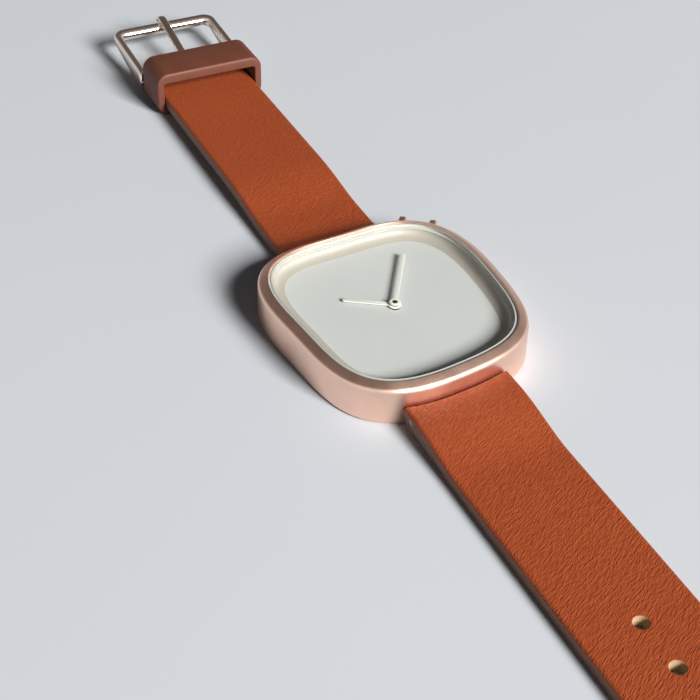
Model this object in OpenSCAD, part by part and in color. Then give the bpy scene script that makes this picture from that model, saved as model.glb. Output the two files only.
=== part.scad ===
// Square wristwatch with a pebble-shaped case, a two-piece leather strap,
// a moulded keeper and a pin buckle. Millimetres, +Z out of the dial,
// +Y towards 12 o'clock, origin in the middle of the case back's outer face.

/* [Case] */
// Half of the case from 9 to 3 o'clock
case_half_w = 18.4; // [17:0.1:21]
// Half of the case from 6 to 12 o'clock
case_half_l = 20.3; // [18.5:0.1:23]
// Squareness of the outline, 2 is an ellipse
case_power = 3.2; // [2.8:0.1:4]
// Turn of the outline about the middle, degrees
case_twist = 3.8; // [0:0.2:6]
// Share by which the 6 o'clock side swells and the 12 o'clock side draws in
case_lean = 0.025; // [0:0.005:0.035]
// Share by which the 3 o'clock side swells and the 9 o'clock side draws in
case_side_lean = 0.009; // [0:0.001:0.015]
// Share by which two opposite corners swell
case_skew = 0.016; // [0:0.002:0.024]
// Height of the case at the top of the bezel
case_h = 6.9; // [6.7:0.1:8]
// Width of the sloped bezel
bezel_w = 1.65; // [1.4:0.05:1.8]
// Flat land at the bezel's inner edge
bezel_land = 0.15; // [0.1:0.05:0.3]
// Drop of the bezel from its inner to its outer edge
bezel_drop = 0.8; // [0.4:0.1:1]
// Bevel round the foot of the case wall
foot_bevel = 0.35; // [0.1:0.05:0.5]
// Ledge under the edge of the crystal
ledge_w = 0.7; // [0.5:0.05:0.8]

/* [Case back] */
// Land of the case wall round the back plate
back_land = 2.6; // [2.4:0.1:3]
// Thickness of the back plate
back_t = 0.9; // [0.8:0.05:1]
// Land between the case's bore and the back gasket
seal_land = 0.5; // [0.3:0.05:0.6]
// Width of the back gasket
seal_w = 0.8; // [0.5:0.05:0.9]
// Thickness of the back gasket
seal_t = 0.5; // [0.3:0.05:0.6]
// Number of back screws
screw_count = 4; // [4:1:4]
// Distance of the screws from the middle
screw_reach = 17.2; // [17:0.1:17.6]
// Angle of the first screw from 3 o'clock
screw_angle = 46; // [42:1:48]
// Radius of a screw head
screw_head_r = 0.95; // [0.8:0.05:1.05]
// Radius of a screw shank
screw_shank_r = 0.45; // [0.35:0.05:0.55]
// Depth of a screw shank past its head
screw_depth = 1.5; // [1.2:0.1:1.8]

/* [Crystal, flange and dial] */
// Thickness of the crystal
crystal_t = 1; // [0.8:0.05:1.1]
// Width of the bevel round the crystal
crystal_bevel_w = 0.65; // [0.3:0.05:0.9]
// Drop of the bevel round the crystal
crystal_bevel_drop = 0.12; // [0.05:0.01:0.2]
// Wall of the crystal gasket
gasket_wall = 0.16; // [0.12:0.01:0.2]
// Thickness of the gasket's lip under the crystal
gasket_lip = 0.16; // [0.12:0.01:0.2]
// Width of the rounded flange between the crystal and the dial
flange_w = 1.7; // [1.4:0.1:2]
// Depth of the flange from its top to the dial
flange_h = 1.2; // [1:0.05:1.3]
// Thickness of the dial
dial_t = 0.4; // [0.3:0.05:0.5]
// Radius of the hole in the dial
dial_hole_r = 0.95; // [0.85:0.05:1.1]
// Distance of the dial's feet from the middle
dial_foot_reach = 9.4; // [9:0.1:9.8]
// Radius of a dial foot
dial_foot_r = 0.35; // [0.25:0.05:0.4]

/* [Hands and motion work] */
// Length of the minute hand from its middle
minute_hand_l = 13.3; // [10:0.1:13.5]
// Length of the hour hand from its middle
hour_hand_l = 8.2; // [6:0.1:10]
// Width of both hands
hand_w = 0.78; // [0.5:0.02:0.9]
// Thickness of both hands
hand_t = 0.16; // [0.12:0.02:0.2]
// Radius of the ring at the hour hand's middle
hour_hub_r = 1.03; // [0.95:0.01:1.1]
// Radius of the ring at the minute hand's middle
minute_hub_r = 0.87; // [0.8:0.01:0.95]
// Minutes past ten that the hands show
shown_minutes = 5.4; // [0:0.1:12]
// Gap between the dial and the hour hand
hour_hand_gap = 0.3; // [0.26:0.02:0.42]
// Gap between the two hands
hands_gap = 0.3; // [0.2:0.02:0.34]
// Radius of the minute post
minute_post_r = 0.42; // [0.36:0.01:0.44]
// Wall of the hour wheel's tube
hour_tube_wall = 0.18; // [0.14:0.01:0.2]
// Tooth size of the motion work, pitch diameter over teeth
gear_module = 0.16; // [0.14:0.01:0.16]
// Teeth of the cannon pinion
cannon_teeth = 10; // [10:1:10]
// Teeth of the minute wheel
minute_teeth = 30; // [30:1:30]
// Teeth of the minute wheel's pinion
minute_pinion_teeth = 8; // [8:1:8]
// Teeth of the hour wheel
hour_teeth = 32; // [32:1:32]
// Thickness of a gear of the motion work
gear_t = 0.26; // [0.2:0.01:0.28]

/* [Movement] */
// Radius of the movement
movement_r = 11.5; // [11:0.1:11.8]
// Wall of the plastic ring that holds the movement in the case
holder_wall = 2; // [1.7:0.05:2.2]
// Depth of the movement plate
plate_t = 2.4; // [2.2:0.05:2.5]
// Thickness of the movement's back cover
cover_t = 0.2; // [0.15:0.01:0.25]
// Radius of the battery
battery_r = 3.4; // [2.9:0.05:3.45]
// Thickness of the battery
battery_t = 1.65; // [1.2:0.05:1.7]
// Radius of the coil's winding
coil_r = 0.8; // [0.6:0.05:0.85]
// Length of the coil's winding
coil_l = 8; // [6:0.1:8.6]
// Thickness of the circuit board
board_t = 0.2; // [0.15:0.01:0.25]

/* [Crown] */
// Angle of the crown's axis from 3 o'clock
crown_angle = 54; // [50:1:58]
// Radius of the crown over its flutes
crown_r = 1.6; // [1.55:0.01:1.65]
// Length of the crown
crown_l = 1.65; // [1.5:0.05:1.8]
// Height of the crown's axis
crown_z = 3; // [2.95:0.05:3.1]
// Number of flutes round the crown
crown_flutes = 24; // [18:1:26]
// Width of each of the two guards beside the crown
guard_w = 1.3; // [1:0.05:1.5]
// Reach of the guards beyond the case wall at the crown
guard_reach = 2; // [1.7:0.05:2.2]
// Gap between the crown and a guard
guard_gap = 0.3; // [0.2:0.05:0.4]
// Travel of the crown from pushed in to pulled out
crown_travel = 0.9; // [0.5:0.05:1]
// Radius of the stem
stem_r = 0.5; // [0.4:0.05:0.55]
// Wall of the crown tube
tube_wall = 0.25; // [0.2:0.01:0.3]

/* [Strap] */
// Width of the strap
strap_w = 18; // [16:0.5:19]
// Thickness of the strap
strap_t = 2.1; // [1.6:0.1:2.3]
// Reach of the hole side from the middle of the watch
hole_side_reach = 128; // [120:1:135]
// Reach of the buckle side, to the buckle's pin
pin_reach = 89; // [86:1:94]
// Number of holes
hole_count = 7; // [3:1:7]
// Distance between holes
hole_pitch = 8; // [6:0.5:8]
// Distance of the first hole from the middle of the watch
hole_start = 69; // [66:1:72]
// Radius of a hole
hole_r = 1.12; // [0.9:0.02:1.2]
// Length over which the strap drops from the case to the table
strap_run = 14; // [12:1:16]
// Length of the folded-back layer under the strap, from the bar
fold_l = 7; // [5:0.5:8]
// Thickness of the folded-back layer
fold_t = 0.6; // [0.4:0.1:0.7]
// Gap between the strap's end and the case wall
end_gap = 0.3; // [0.25:0.05:0.4]

/* [Strap bars and lugs] */
// Radius of a strap bar
bar_r = 0.55; // [0.45:0.05:0.6]
// Height of the strap bars
bar_z = 2; // [1.9:0.05:2.1]
// Leather round a strap bar
loop_wall = 1; // [0.9:0.05:1.05]
// Width of the hidden lug in the middle of each strap end
lug_w = 9; // [7:0.5:10]
// Wall of a lug round its bar
lug_wall = 0.4; // [0.35:0.01:0.45]

/* [Keeper] */
// Length of the keeper along the strap
keeper_l = 8.4; // [6:0.1:9]
// Side wall of the keeper
keeper_side = 1.35; // [0.9:0.05:1.5]
// Top wall of the keeper
keeper_top = 2; // [1.3:0.05:2.2]
// Bottom wall of the keeper
keeper_floor = 1.3; // [1:0.05:1.5]
// Height left in the keeper for the tail over the strap
keeper_room = 2.7; // [2.4:0.1:3]
// Gap between the keeper and the strap
keeper_gap = 0.15; // [0.1:0.01:0.25]
// Distance of the keeper's far face from the buckle's pin
keeper_back = 3.2; // [3.1:0.1:5]

/* [Buckle] */
// Distance from the pin to the outer bar
buckle_l = 14.4; // [12:0.1:16]
// Rise of the outer bar over the pin
buckle_rise = 1.9; // [1:0.1:2.5]
// Thickness of a side arm
arm_w = 1.5; // [1.2:0.1:1.8]
// Radius of an arm's end round the pin
arm_r = 2.1; // [1.8:0.05:2.2]
// Radius of the outer bar
outer_bar_r = 1.1; // [0.9:0.05:1.3]
// Corner radius of the frame
buckle_corner_r = 2.6; // [2:0.1:3.5]
// Gap between an arm and the strap
arm_gap = 0.15; // [0.1:0.05:0.3]
// Radius of the buckle's pin
pin_r = 0.7; // [0.6:0.05:0.75]
// Width of the tongue
tongue_w = 1.6; // [1.4:0.1:1.8]
// Thickness of the tongue
tongue_t = 1; // [0.8:0.05:1.2]

/* [Hidden] */
$fn = 48;

// Fits: a sliding or running fit, a seat and a cut that runs past a face
run_fit = 0.03;
seat_fit = 0.05;
cut = 1;
rim_steps = 96;

// Heights in the case, from the back to the crystal
crystal_z = case_h - crystal_t;
lip_z = crystal_z - gasket_lip - 0.02;
flange_z = lip_z - 0.02;
dial_top = flange_z - flange_h;
dial_z = dial_top - dial_t;
plate_top = dial_z - seat_fit;
plate_z = plate_top - plate_t;
cover_z = plate_z - cover_t - 0.01;
hour_hand_z = dial_top + hour_hand_gap;
minute_hand_z = hour_hand_z + hand_t + hands_gap;

// Bore of the case and the gasket round it
bore_r = movement_r + holder_wall;
seal_r = bore_r + seal_land + seal_w / 2;

// Distances in from the outline
opening_in = bezel_w + ledge_w;
crystal_in = bezel_w + gasket_wall + 0.04;
flange_in = opening_in + seat_fit;

// Motion work between the plate and the dial, in two layers
motion_r = gear_module * (cannon_teeth + minute_teeth) / 2;
motion_at = motion_r * [cos(crown_angle), sin(crown_angle)];
upper_gear_z = plate_top - 0.06 - gear_t;
lower_gear_z = upper_gear_z - 0.08 - gear_t;
motion_floor = lower_gear_z - 0.06;
motion_room = gear_module * (minute_teeth / 2 + 1) + 0.25;
hour_room = gear_module * (hour_teeth / 2 + 1) + 0.25;
hour_tube_in = minute_post_r + run_fit;
hour_tube_r = hour_tube_in + hour_tube_wall;
pivot_r = 0.3;
pivot_depth = 0.6;
hour_angle = 150 - shown_minutes / 2;
minute_angle = 90 - shown_minutes * 6;

// Crown, stem and tube along the crown's axis
wall_reach = radius_at(crown_angle);
tube_in = stem_r + 2 * run_fit;
tube_r = tube_in + tube_wall;
tube_start = bore_r + 0.3;
tube_end = wall_reach + 0.9;
crown_start = wall_reach + 0.3;
crown_cap = 0.7;
crown_seal_w = 0.25;
crown_hub_r = tube_r + crown_seal_w + 2 * run_fit;
stem_square = 1.3 * stem_r;
pinion_r = 0.72;
pinion_l = 1.2;
pinion_start = motion_r + motion_room + crown_travel + 0.15;
stem_start = pinion_start - crown_travel - 0.1;

// Strap bars sit as far out as the strap's ends need to swing
loop_r = bar_r + run_fit + loop_wall;
reach_12 = max([for (p = rim(0)) if (abs(p.x) < strap_w / 2) p.y]);
reach_6 = max([for (p = rim(0)) if (abs(p.x) < strap_w / 2) -p.y]);
bar_12 = reach_12 + end_gap + loop_r;
bar_6 = reach_6 + end_gap + loop_r;
lug_r = bar_r + run_fit + lug_wall;
lug_room = 0.15;
strap_top = bar_z + loop_r;
end_l = 4;

// The buckle side rises to the keeper's floor
strap_lift = keeper_floor + keeper_gap;
lift_from = 5;
lift_run = 20;
drop_run = 5;
short_fold = 4;
slot_w = tongue_w + 0.8;
slot_l = keeper_back - 0.3;
pin_bore_r = pin_r + run_fit;
pin_z = strap_lift + strap_t / 2;
pin_loop_r = strap_t / 2 + 0.6;
keeper_far = pin_reach - keeper_back;
keeper_inner_w = strap_w + 2 * keeper_gap;
keeper_inner_h = strap_t + 2 * keeper_gap + keeper_room;
keeper_h = keeper_floor + keeper_inner_h + keeper_top;
keeper_corner_r = 2.3;

// Buckle frame
frame_w = strap_w + 2 * (arm_gap + arm_w);
window_w = strap_w + 2 * arm_gap;
bar_end = pin_reach + buckle_l;
outer_bar_z = pin_z + buckle_rise;
arm_angle = atan2(buckle_rise, buckle_l);
arm_span = norm([buckle_l, buckle_rise]);
tongue_gap = 0.2;

// Outline of the case: a rounded square that leans like a pebble
function radius_at(t) =
  let (u = t - case_twist)
  pow(pow(abs(cos(u)) / case_half_w, case_power) + pow(abs(sin(u)) / case_half_l, case_power),
      -1 / case_power)
  * (1 + case_lean * sin(3 * t) + case_side_lean * cos(3 * t) + case_skew * sin(2 * t));
function rim_point(t) = radius_at(t) * [cos(t), sin(t)];
function rim_grown(t, grow) =
  let (d = rim_point(t + 1) - rim_point(t - 1))
  rim_point(t) + grow * [d.y, -d.x] / norm(d);
function rim(grow) = [for (i = [0 : rim_steps - 1]) rim_grown(360 * i / rim_steps, grow)];

// Eases from 0 to 1
function ease(u) = let (v = min(max(u, 0), 1)) v * v * (3 - 2 * v);

// A prism on the outline, grown or drawn in, between two heights
module rim_prism(grow, low, high) {
  translate([0, 0, low]) linear_extrude(high - low) polygon(rim(grow));
}

// A solid through copies of the outline, each level being its growth and its height
module rim_loft(levels) {
  n = rim_steps;
  points = [for (level = levels) for (p = rim(level[0])) [p.x, p.y, level[1]]];
  sides = [for (k = [0 : len(levels) - 2]) for (i = [0 : n - 1])
    let (a = k * n + i, b = k * n + (i + 1) % n)
    each [[a, a + n, b + n], [a, b + n, b]]];
  floor_face = [for (i = [0 : n - 1]) i];
  top_face = [for (i = [n - 1 : -1 : 0]) (len(levels) - 1) * n + i];
  polyhedron(points, concat(sides, [floor_face, top_face]), convexity = 6);
}

module ring(outer_r, inner_r, h) {
  difference() {
    cylinder(h, r = outer_r);
    translate([0, 0, -cut]) cylinder(h + 2 * cut, r = inner_r);
  }
}

// Places children on the crown's axis, with +Z pointing out
module on_crown_axis(reach) {
  rotate([0, 0, crown_angle]) translate([reach, 0, crown_z]) rotate([0, 90, 0]) children();
}

// Places children at each back screw
module at_screws() {
  for (i = [0 : screw_count - 1]) {
    side = i % 2 == 0 ? screw_angle : 180 - screw_angle;
    turn = side + (i > 1 ? 180 : 0);
    translate(screw_reach * [cos(turn), sin(turn)]) children();
  }
}

module at_dial_feet() {
  for (turn = [crown_angle + 100, crown_angle + 280])
    translate(dial_foot_reach * [cos(turn), sin(turn)]) children();
}

// A spur gear on Z, with a tooth pointing along +X at phase 0
module gear(teeth, phase) {
  pitch_r = gear_module * teeth / 2;
  root_r = pitch_r - 1.1 * gear_module;
  tip_r = pitch_r + 0.7 * gear_module;
  step = 360 / teeth;
  linear_extrude(gear_t) polygon([for (i = [0 : teeth - 1])
    let (t = i * step + phase)
    each [root_r * [cos(t - 0.27 * step), sin(t - 0.27 * step)],
          tip_r * [cos(t - 0.10 * step), sin(t - 0.10 * step)],
          tip_r * [cos(t + 0.10 * step), sin(t + 0.10 * step)],
          root_r * [cos(t + 0.27 * step), sin(t + 0.27 * step)]]]);
}

// A lug with its bar's bore, for the strap end at the given distance
module lug(reach, wall_at) {
  translate([-lug_w / 2, 0, 0]) rotate([90, 0, 90]) linear_extrude(lug_w) union() {
    translate([reach, bar_z]) circle(lug_r);
    polygon([[wall_at - 1.2, bar_z - lug_r], [reach, bar_z - lug_r],
             [reach, bar_z + lug_r], [wall_at + 0.3, bar_z + 0.3], [wall_at - 1.2, bar_z + 0.3]]);
  }
}

module bar_hole(reach, r) {
  translate([-strap_w, reach, bar_z]) rotate([0, 90, 0]) cylinder(2 * strap_w, r = r);
}

// Two fins of the case that stand beside the crown, with rounded noses
module crown_guards() {
  root = 1;
  nose_r = 0.9;
  low = 1;
  high = case_h - bezel_drop - 0.4;
  nose = guard_reach - nose_r;
  half = guard_w / 2;
  for (side = [-1, 1])
    rotate([0, 0, crown_angle]) translate([wall_reach, side * (crown_r + guard_gap + half), 0])
    intersection() {
      translate([0, half, 0]) rotate([90, 0, 0]) linear_extrude(guard_w)
        polygon(concat([[-root, low]], arc([nose, low + nose_r], nose_r, -90, 0),
                       arc([nose, high - nose_r], nose_r, 0, 90), [[-root, high]]));
      linear_extrude(case_h)
        polygon(concat([[-root, -half]], arc([guard_reach - half, 0], half, -90, 90), [[-root, half]]));
    }
}

module case_body() {
  color("#dcb09c") difference() {
    union() {
      crown_guards();
      rim_loft([[-foot_bevel, 0], [0, foot_bevel], [0, case_h - bezel_drop],
                [bezel_land - bezel_w, case_h]]);
      lug(bar_12, reach_12);
      mirror([0, 1, 0]) lug(bar_6, reach_6);
    }
    rim_prism(-bezel_w, lip_z, case_h + cut);
    rim_prism(-opening_in, dial_z, case_h);
    rim_prism(-back_land, -cut, back_t + 0.02);
    translate([0, 0, back_t]) cylinder(dial_z, r = bore_r);
    translate([0, 0, back_t]) ring(seal_r + seal_w / 2 + seat_fit, seal_r - seal_w / 2 - seat_fit,
                                   seal_t + 0.04);
    at_screws() cylinder(back_t + screw_depth + 0.3, r = screw_shank_r + 0.01);
    on_crown_axis(bore_r - cut) cylinder(wall_reach, r = tube_r + 0.01);
    bar_hole(bar_12, bar_r + 0.01);
    bar_hole(-bar_6, bar_r + 0.01);
  }
}

module case_back() {
  color("#d2a792") difference() {
    rim_prism(-back_land - seat_fit, 0, back_t);
    at_screws() translate([0, 0, -cut]) cylinder(back_t + 2 * cut, r = screw_shank_r + seat_fit);
    at_screws() translate([0, 0, -cut]) cylinder(cut + back_t / 2, r = screw_head_r + seat_fit);
  }
}

module case_back_gasket() {
  color("#262626") translate([0, 0, back_t]) ring(seal_r + seal_w / 2, seal_r - seal_w / 2, seal_t);
}

module case_back_screws() {
  slot = 0.25;
  sink = 0.05;
  color("#b9b6b0") at_screws() difference() {
    union() {
      translate([0, 0, sink]) cylinder(back_t / 2 - sink, r = screw_head_r);
      translate([0, 0, sink]) cylinder(back_t / 2 + screw_depth, r = screw_shank_r);
    }
    translate([-screw_head_r - cut, -slot / 2, -cut])
      cube([2 * (screw_head_r + cut), slot, cut + sink + 0.2]);
  }
}

module crystal() {
  color("#dfe8ea", 0.35) rim_loft([[-crystal_in, crystal_z], [-crystal_in, case_h - crystal_bevel_drop],
    [-crystal_in - crystal_bevel_w, case_h]]);
}

module crystal_gasket() {
  lip_in = opening_in + 0.12;
  color("#c9ccc6") difference() {
    rim_prism(-bezel_w - 0.02, lip_z, case_h - 0.3);
    rim_prism(-bezel_w - 0.02 - gasket_wall, lip_z + gasket_lip, case_h);
    rim_prism(-lip_in, lip_z - cut, case_h);
  }
}

module flange_ring() {
  toe = 0.06;
  bowl_steps = 6;
  rim_edge = flange_in + 0.12;
  color("#ebe6d8") difference() {
    rim_prism(-flange_in, dial_top, flange_z);
    rim_loft(concat([[-rim_edge - flange_w, dial_top - cut]],
      [for (i = [0 : bowl_steps]) let (t = 90 * i / bowl_steps)
        [-rim_edge - flange_w * (1 - sin(t)), dial_top + toe + (flange_h - toe) * (1 - cos(t))]],
      [[-rim_edge, flange_z + cut]]));
  }
}

module dial() {
  color("#cbcec9") difference() {
    union() {
      rim_prism(-flange_in, dial_z, dial_top);
      at_dial_feet() translate([0, 0, dial_z - 1.2]) cylinder(1.3, r = dial_foot_r);
    }
    translate([0, 0, dial_z - cut]) cylinder(dial_t + 2 * cut, r = dial_hole_r);
  }
}

// A baton with rounded ends and a ring at its middle, pointing along +X
module hand(length, hub_r, hole_r) {
  linear_extrude(hand_t) difference() {
    union() {
      circle(hub_r);
      translate([0, -hand_w / 2]) square([length - hand_w / 2, hand_w]);
      translate([length - hand_w / 2, 0]) circle(hand_w / 2);
    }
    circle(hole_r);
  }
}

module hour_hand() {
  color("#d5d8d3") translate([0, 0, hour_hand_z]) rotate([0, 0, hour_angle])
    hand(hour_hand_l, hour_hub_r, hour_tube_r + 0.01);
}

module minute_hand() {
  color("#d9dcd7") translate([0, 0, minute_hand_z]) rotate([0, 0, minute_angle])
    hand(minute_hand_l, minute_hub_r, minute_post_r + 0.01);
}

module cannon_pinion() {
  eye_r = 0.22;
  color("#b8a06a") difference() {
    union() {
      translate([0, 0, lower_gear_z]) gear(cannon_teeth, crown_angle);
      translate([0, 0, lower_gear_z]) cylinder(minute_hand_z + hand_t - lower_gear_z, r = minute_post_r);
      translate([0, 0, motion_floor - pivot_depth]) cylinder(pivot_depth + gear_t, r = pivot_r);
    }
    translate([0, 0, minute_hand_z - 0.6]) cylinder(2, r = eye_r);
  }
}

module minute_wheel() {
  color("#c2a868") translate(motion_at) {
    translate([0, 0, lower_gear_z]) gear(minute_teeth, crown_angle + 180 / minute_teeth);
    translate([0, 0, lower_gear_z]) cylinder(upper_gear_z - lower_gear_z, r = 2 * gear_module);
    translate([0, 0, upper_gear_z]) gear(minute_pinion_teeth, crown_angle + 180);
    translate([0, 0, motion_floor - pivot_depth]) cylinder(pivot_depth + gear_t, r = pivot_r);
  }
}

module hour_wheel() {
  color("#b39a5f") difference() {
    union() {
      translate([0, 0, upper_gear_z]) gear(hour_teeth, crown_angle + 180 / hour_teeth);
      translate([0, 0, upper_gear_z]) cylinder(hour_hand_z + hand_t - upper_gear_z, r = hour_tube_r);
    }
    translate([0, 0, upper_gear_z - cut]) cylinder(case_h, r = hour_tube_in);
  }
}

module movement_holder() {
  color("#efeadd") difference() {
    translate([0, 0, back_t + 0.1]) ring(bore_r - seat_fit, movement_r + seat_fit,
                                         plate_top - back_t - 0.1);
    on_crown_axis(movement_r - cut) cylinder(holder_wall + 2 * cut, r = stem_r + 0.3);
  }
}

// Places of the battery, the coil and the circuit board on the back of the plate
battery_turn = crown_angle + 150;
battery_rim = 1.5;
battery_at = (movement_r - battery_rim - battery_r) * [cos(battery_turn), sin(battery_turn)];
coil_turn = crown_angle - 80;
coil_rim = 3.5;
coil_reach = movement_r - coil_rim - coil_r;
pocket_fit = 0.08;
clip_t = 0.1;
battery_rest = clip_t + 0.04;

module at_coil() {
  rotate([0, 0, coil_turn]) translate([coil_reach, 0, plate_z + coil_r + 0.1]) rotate([90, 0, 0])
    children();
}

// The board lies between the crown's stem and the battery
module board_outline(gap) {
  board_in = 4.4;
  board_out = movement_r - 1.3;
  first = crown_angle + 22;
  last = crown_angle + 104;
  steps = 12;
  edge = [for (i = [0 : steps]) first + (last - first) * i / steps];
  polygon(concat([for (t = edge) (board_out + gap) * [cos(t), sin(t)]],
                 [for (i = [steps : -1 : 0]) (board_in - gap) * [cos(edge[i]), sin(edge[i])]]));
}

module movement_plate() {
  color("#c9b98c") difference() {
    translate([0, 0, plate_z]) cylinder(plate_t, r = movement_r);
    translate([0, 0, motion_floor]) cylinder(plate_t, r = hour_room);
    translate([motion_at.x, motion_at.y, motion_floor]) cylinder(plate_t, r = motion_room);
    translate([0, 0, plate_z - cut]) cylinder(plate_t + cut, r = pivot_r + run_fit);
    translate([motion_at.x, motion_at.y, motion_floor - pivot_depth - 0.1])
      cylinder(plate_t, r = pivot_r + run_fit);
    at_dial_feet() translate([0, 0, dial_z - 1.4]) cylinder(plate_t, r = dial_foot_r + seat_fit);
    translate([battery_at.x, battery_at.y, plate_z - cut])
      cylinder(cut + battery_rest + battery_t + 0.05, r = battery_r + pocket_fit);
    translate([0, 0, plate_z - cut]) linear_extrude(cut + board_t + 0.03) board_outline(pocket_fit);
    at_coil() translate([0, 0, -coil_l / 2 - 1.3]) cylinder(coil_l + 2.6, r = coil_r + pocket_fit);
    rotate([0, 0, coil_turn])
      translate([coil_reach - coil_r - pocket_fit, -coil_l / 2 - 1.3, plate_z - cut])
      cube([2 * (coil_r + pocket_fit), coil_l + 2.6, cut + coil_r + 0.1]);
    on_crown_axis(stem_start - 0.3) cylinder(movement_r, r = stem_r + 0.12);
    on_crown_axis(pinion_start - 0.08) cylinder(pinion_l + 0.16, r = pinion_r + 0.08);
  }
}

module battery() {
  color("#c4c7ca") translate([battery_at.x, battery_at.y, plate_z + battery_rest])
    cylinder(battery_t, r = battery_r);
}

module battery_clip() {
  clip_w = 1.4;
  color("#cdb26a") translate([battery_at.x, battery_at.y, plate_z + 0.02])
    rotate([0, 0, battery_turn]) translate([-battery_r, -clip_w / 2, 0])
    cube([2 * battery_r, clip_w, clip_t]);
}

module coil() {
  color("#b5652f") at_coil() translate([0, 0, -coil_l / 2]) difference() {
    cylinder(coil_l, r = coil_r);
    translate([0, 0, -cut]) cylinder(coil_l + 2 * cut, r = 0.31);
  }
}

module coil_core() {
  color("#8f9296") at_coil() translate([0, 0, -coil_l / 2 - 1]) {
    cylinder(coil_l + 2, r = 0.3);
    cylinder(0.8, r = coil_r);
    translate([0, 0, coil_l + 1.2]) cylinder(0.8, r = coil_r);
  }
}

module circuit_board() {
  color("#2f6b45") translate([0, 0, plate_z + 0.01]) linear_extrude(board_t) board_outline(0);
}

module movement_cover() {
  color("#c0c2c4") translate([0, 0, cover_z]) ring(movement_r - 0.1, 0.6, cover_t);
}

module setting_pinion() {
  half = stem_square / 2 + 0.04;
  color("#a9abad") on_crown_axis(pinion_start) difference() {
    cylinder(pinion_l, r = pinion_r);
    translate([-half, -half, -cut]) cube([2 * half, 2 * half, pinion_l + 2 * cut]);
  }
}

module winding_stem() {
  round_start = pinion_start + pinion_l + 0.1;
  stem_end = crown_start + crown_l - crown_cap;
  color("#8d9093") {
    on_crown_axis(stem_start) translate([-stem_square / 2, -stem_square / 2, 0])
      cube([stem_square, stem_square, round_start - stem_start + 0.5]);
    on_crown_axis(round_start) cylinder(stem_end - round_start, r = stem_r);
  }
}

module crown_tube() {
  color("#b7b2ab") on_crown_axis(tube_start) ring(tube_r, tube_in, tube_end - tube_start);
}

module crown_gasket() {
  color("#1f1f1f") on_crown_axis(crown_start + 0.35)
    ring(crown_hub_r - run_fit, tube_r + run_fit, 0.4);
}

module crown() {
  flute_r = 0.13;
  color("#d8a892") on_crown_axis(crown_start) difference() {
    cylinder(crown_l, r = crown_r);
    translate([0, 0, -cut]) cylinder(cut + crown_l - crown_cap, r = crown_hub_r);
    for (i = [0 : crown_flutes - 1]) rotate([0, 0, 360 * i / crown_flutes])
      translate([crown_r, 0, -cut]) cylinder(crown_l + 2 * cut, r = flute_r, $fn = 16);
  }
}

// Points on an arc, a few degrees apart
function arc(middle, r, from, to) =
  let (steps = ceil((to - from) / 7.5))
  [for (i = [0 : steps]) let (t = from + (to - from) * i / steps) middle + r * [cos(t), sin(t)]];

// Half height of a round at a distance from its middle
function bulge(d, r) = sqrt(max(r * r - d * d, 0));

// Distances along the strap that follow a round
function round_marks(at, r) = [for (t = [0 : 15 : 180]) at - r * cos(t)];

// Underside of a strap past its bar: the loop round the bar, or the layers below its top
function underside(d, top, layers) =
  d < 0 ? bar_z - bulge(d, loop_r) : min(bar_z - bulge(d, loop_r), max(top - layers, 0));

// Side view of a strap between two lists of [distance, height]
module side_view(tops, bottoms) {
  polygon(concat(tops, [for (i = [len(bottoms) - 1 : -1 : 0]) bottoms[i]]));
}

// Widens a side view to the strap's width
module across(width) {
  translate([-width / 2, 0, 0]) rotate([90, 0, 90]) linear_extrude(width) children();
}

// Room for the hidden lug, open towards the case and below
module lug_pocket(reach) {
  pocket_w = lug_w + 2 * lug_room;
  translate([-pocket_w / 2, reach - 8, -cut])
    cube([pocket_w, 8 + lug_r + lug_room, cut + bar_z + lug_r + 0.1]);
}

// Plan of a strap from the middle of the watch to a round tip
module strap_plan(reach) {
  tip_r = strap_w / 2;
  translate([0, 0, -cut]) linear_extrude(case_h + 2 * cut) {
    translate([-strap_w / 2, 0]) square([strap_w, reach - tip_r]);
    translate([0, reach - tip_r]) circle(tip_r, $fn = 96);
  }
}

function hole_side_top(s) =
  strap_t + (strap_top - strap_t) * (1 - ease((s - bar_6 - 0.5) / strap_run));
function buckle_side_top(s) =
  strap_t + (strap_top - strap_t) * (1 - ease((s - bar_12) / drop_run))
  + strap_lift * ease((s - bar_12 - lift_from) / lift_run);

// Swells a height of the strap into the round loop at the buckle's pin, up for side 1, down for -1
function pin_end(s, height, side) =
  let (loop_height = pin_z + side * bulge(s - pin_reach, pin_loop_r))
  s > pin_reach ? loop_height : side > 0 ? max(height, loop_height) : min(height, loop_height);

module strap_hole_side() {
  steps = 14;
  slope_start = bar_6 + loop_r;
  slope_l = strap_run - 0.6;
  fold_end = bar_6 + fold_l;
  marks = concat([bar_6 - loop_r - end_l], round_marks(bar_6, loop_r),
                 [for (i = [1 : steps]) slope_start + slope_l * i / steps], [hole_side_reach]);
  lows = concat([for (s = marks) if (s < fold_end) [s, strap_t + fold_t]],
                [[fold_end, strap_t + fold_t], [fold_end, strap_t]],
                [for (s = marks) if (s > fold_end) [s, strap_t]]);
  color("#b4552f") mirror([0, 1, 0]) difference() {
    intersection() {
      across(strap_w) side_view([for (s = marks) [s, hole_side_top(s)]],
        [for (low = lows) [low.x, underside(low.x - bar_6, hole_side_top(low.x), low.y)]]);
      strap_plan(hole_side_reach);
    }
    mirror([0, 1, 0]) rim_prism(end_gap, -cut, case_h + cut);
    lug_pocket(bar_6);
    bar_hole(bar_6, bar_r + run_fit);
    for (i = [0 : hole_count - 1])
      translate([0, hole_start + i * hole_pitch, -cut]) cylinder(strap_t + 2 * cut, r = hole_r);
  }
}

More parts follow.
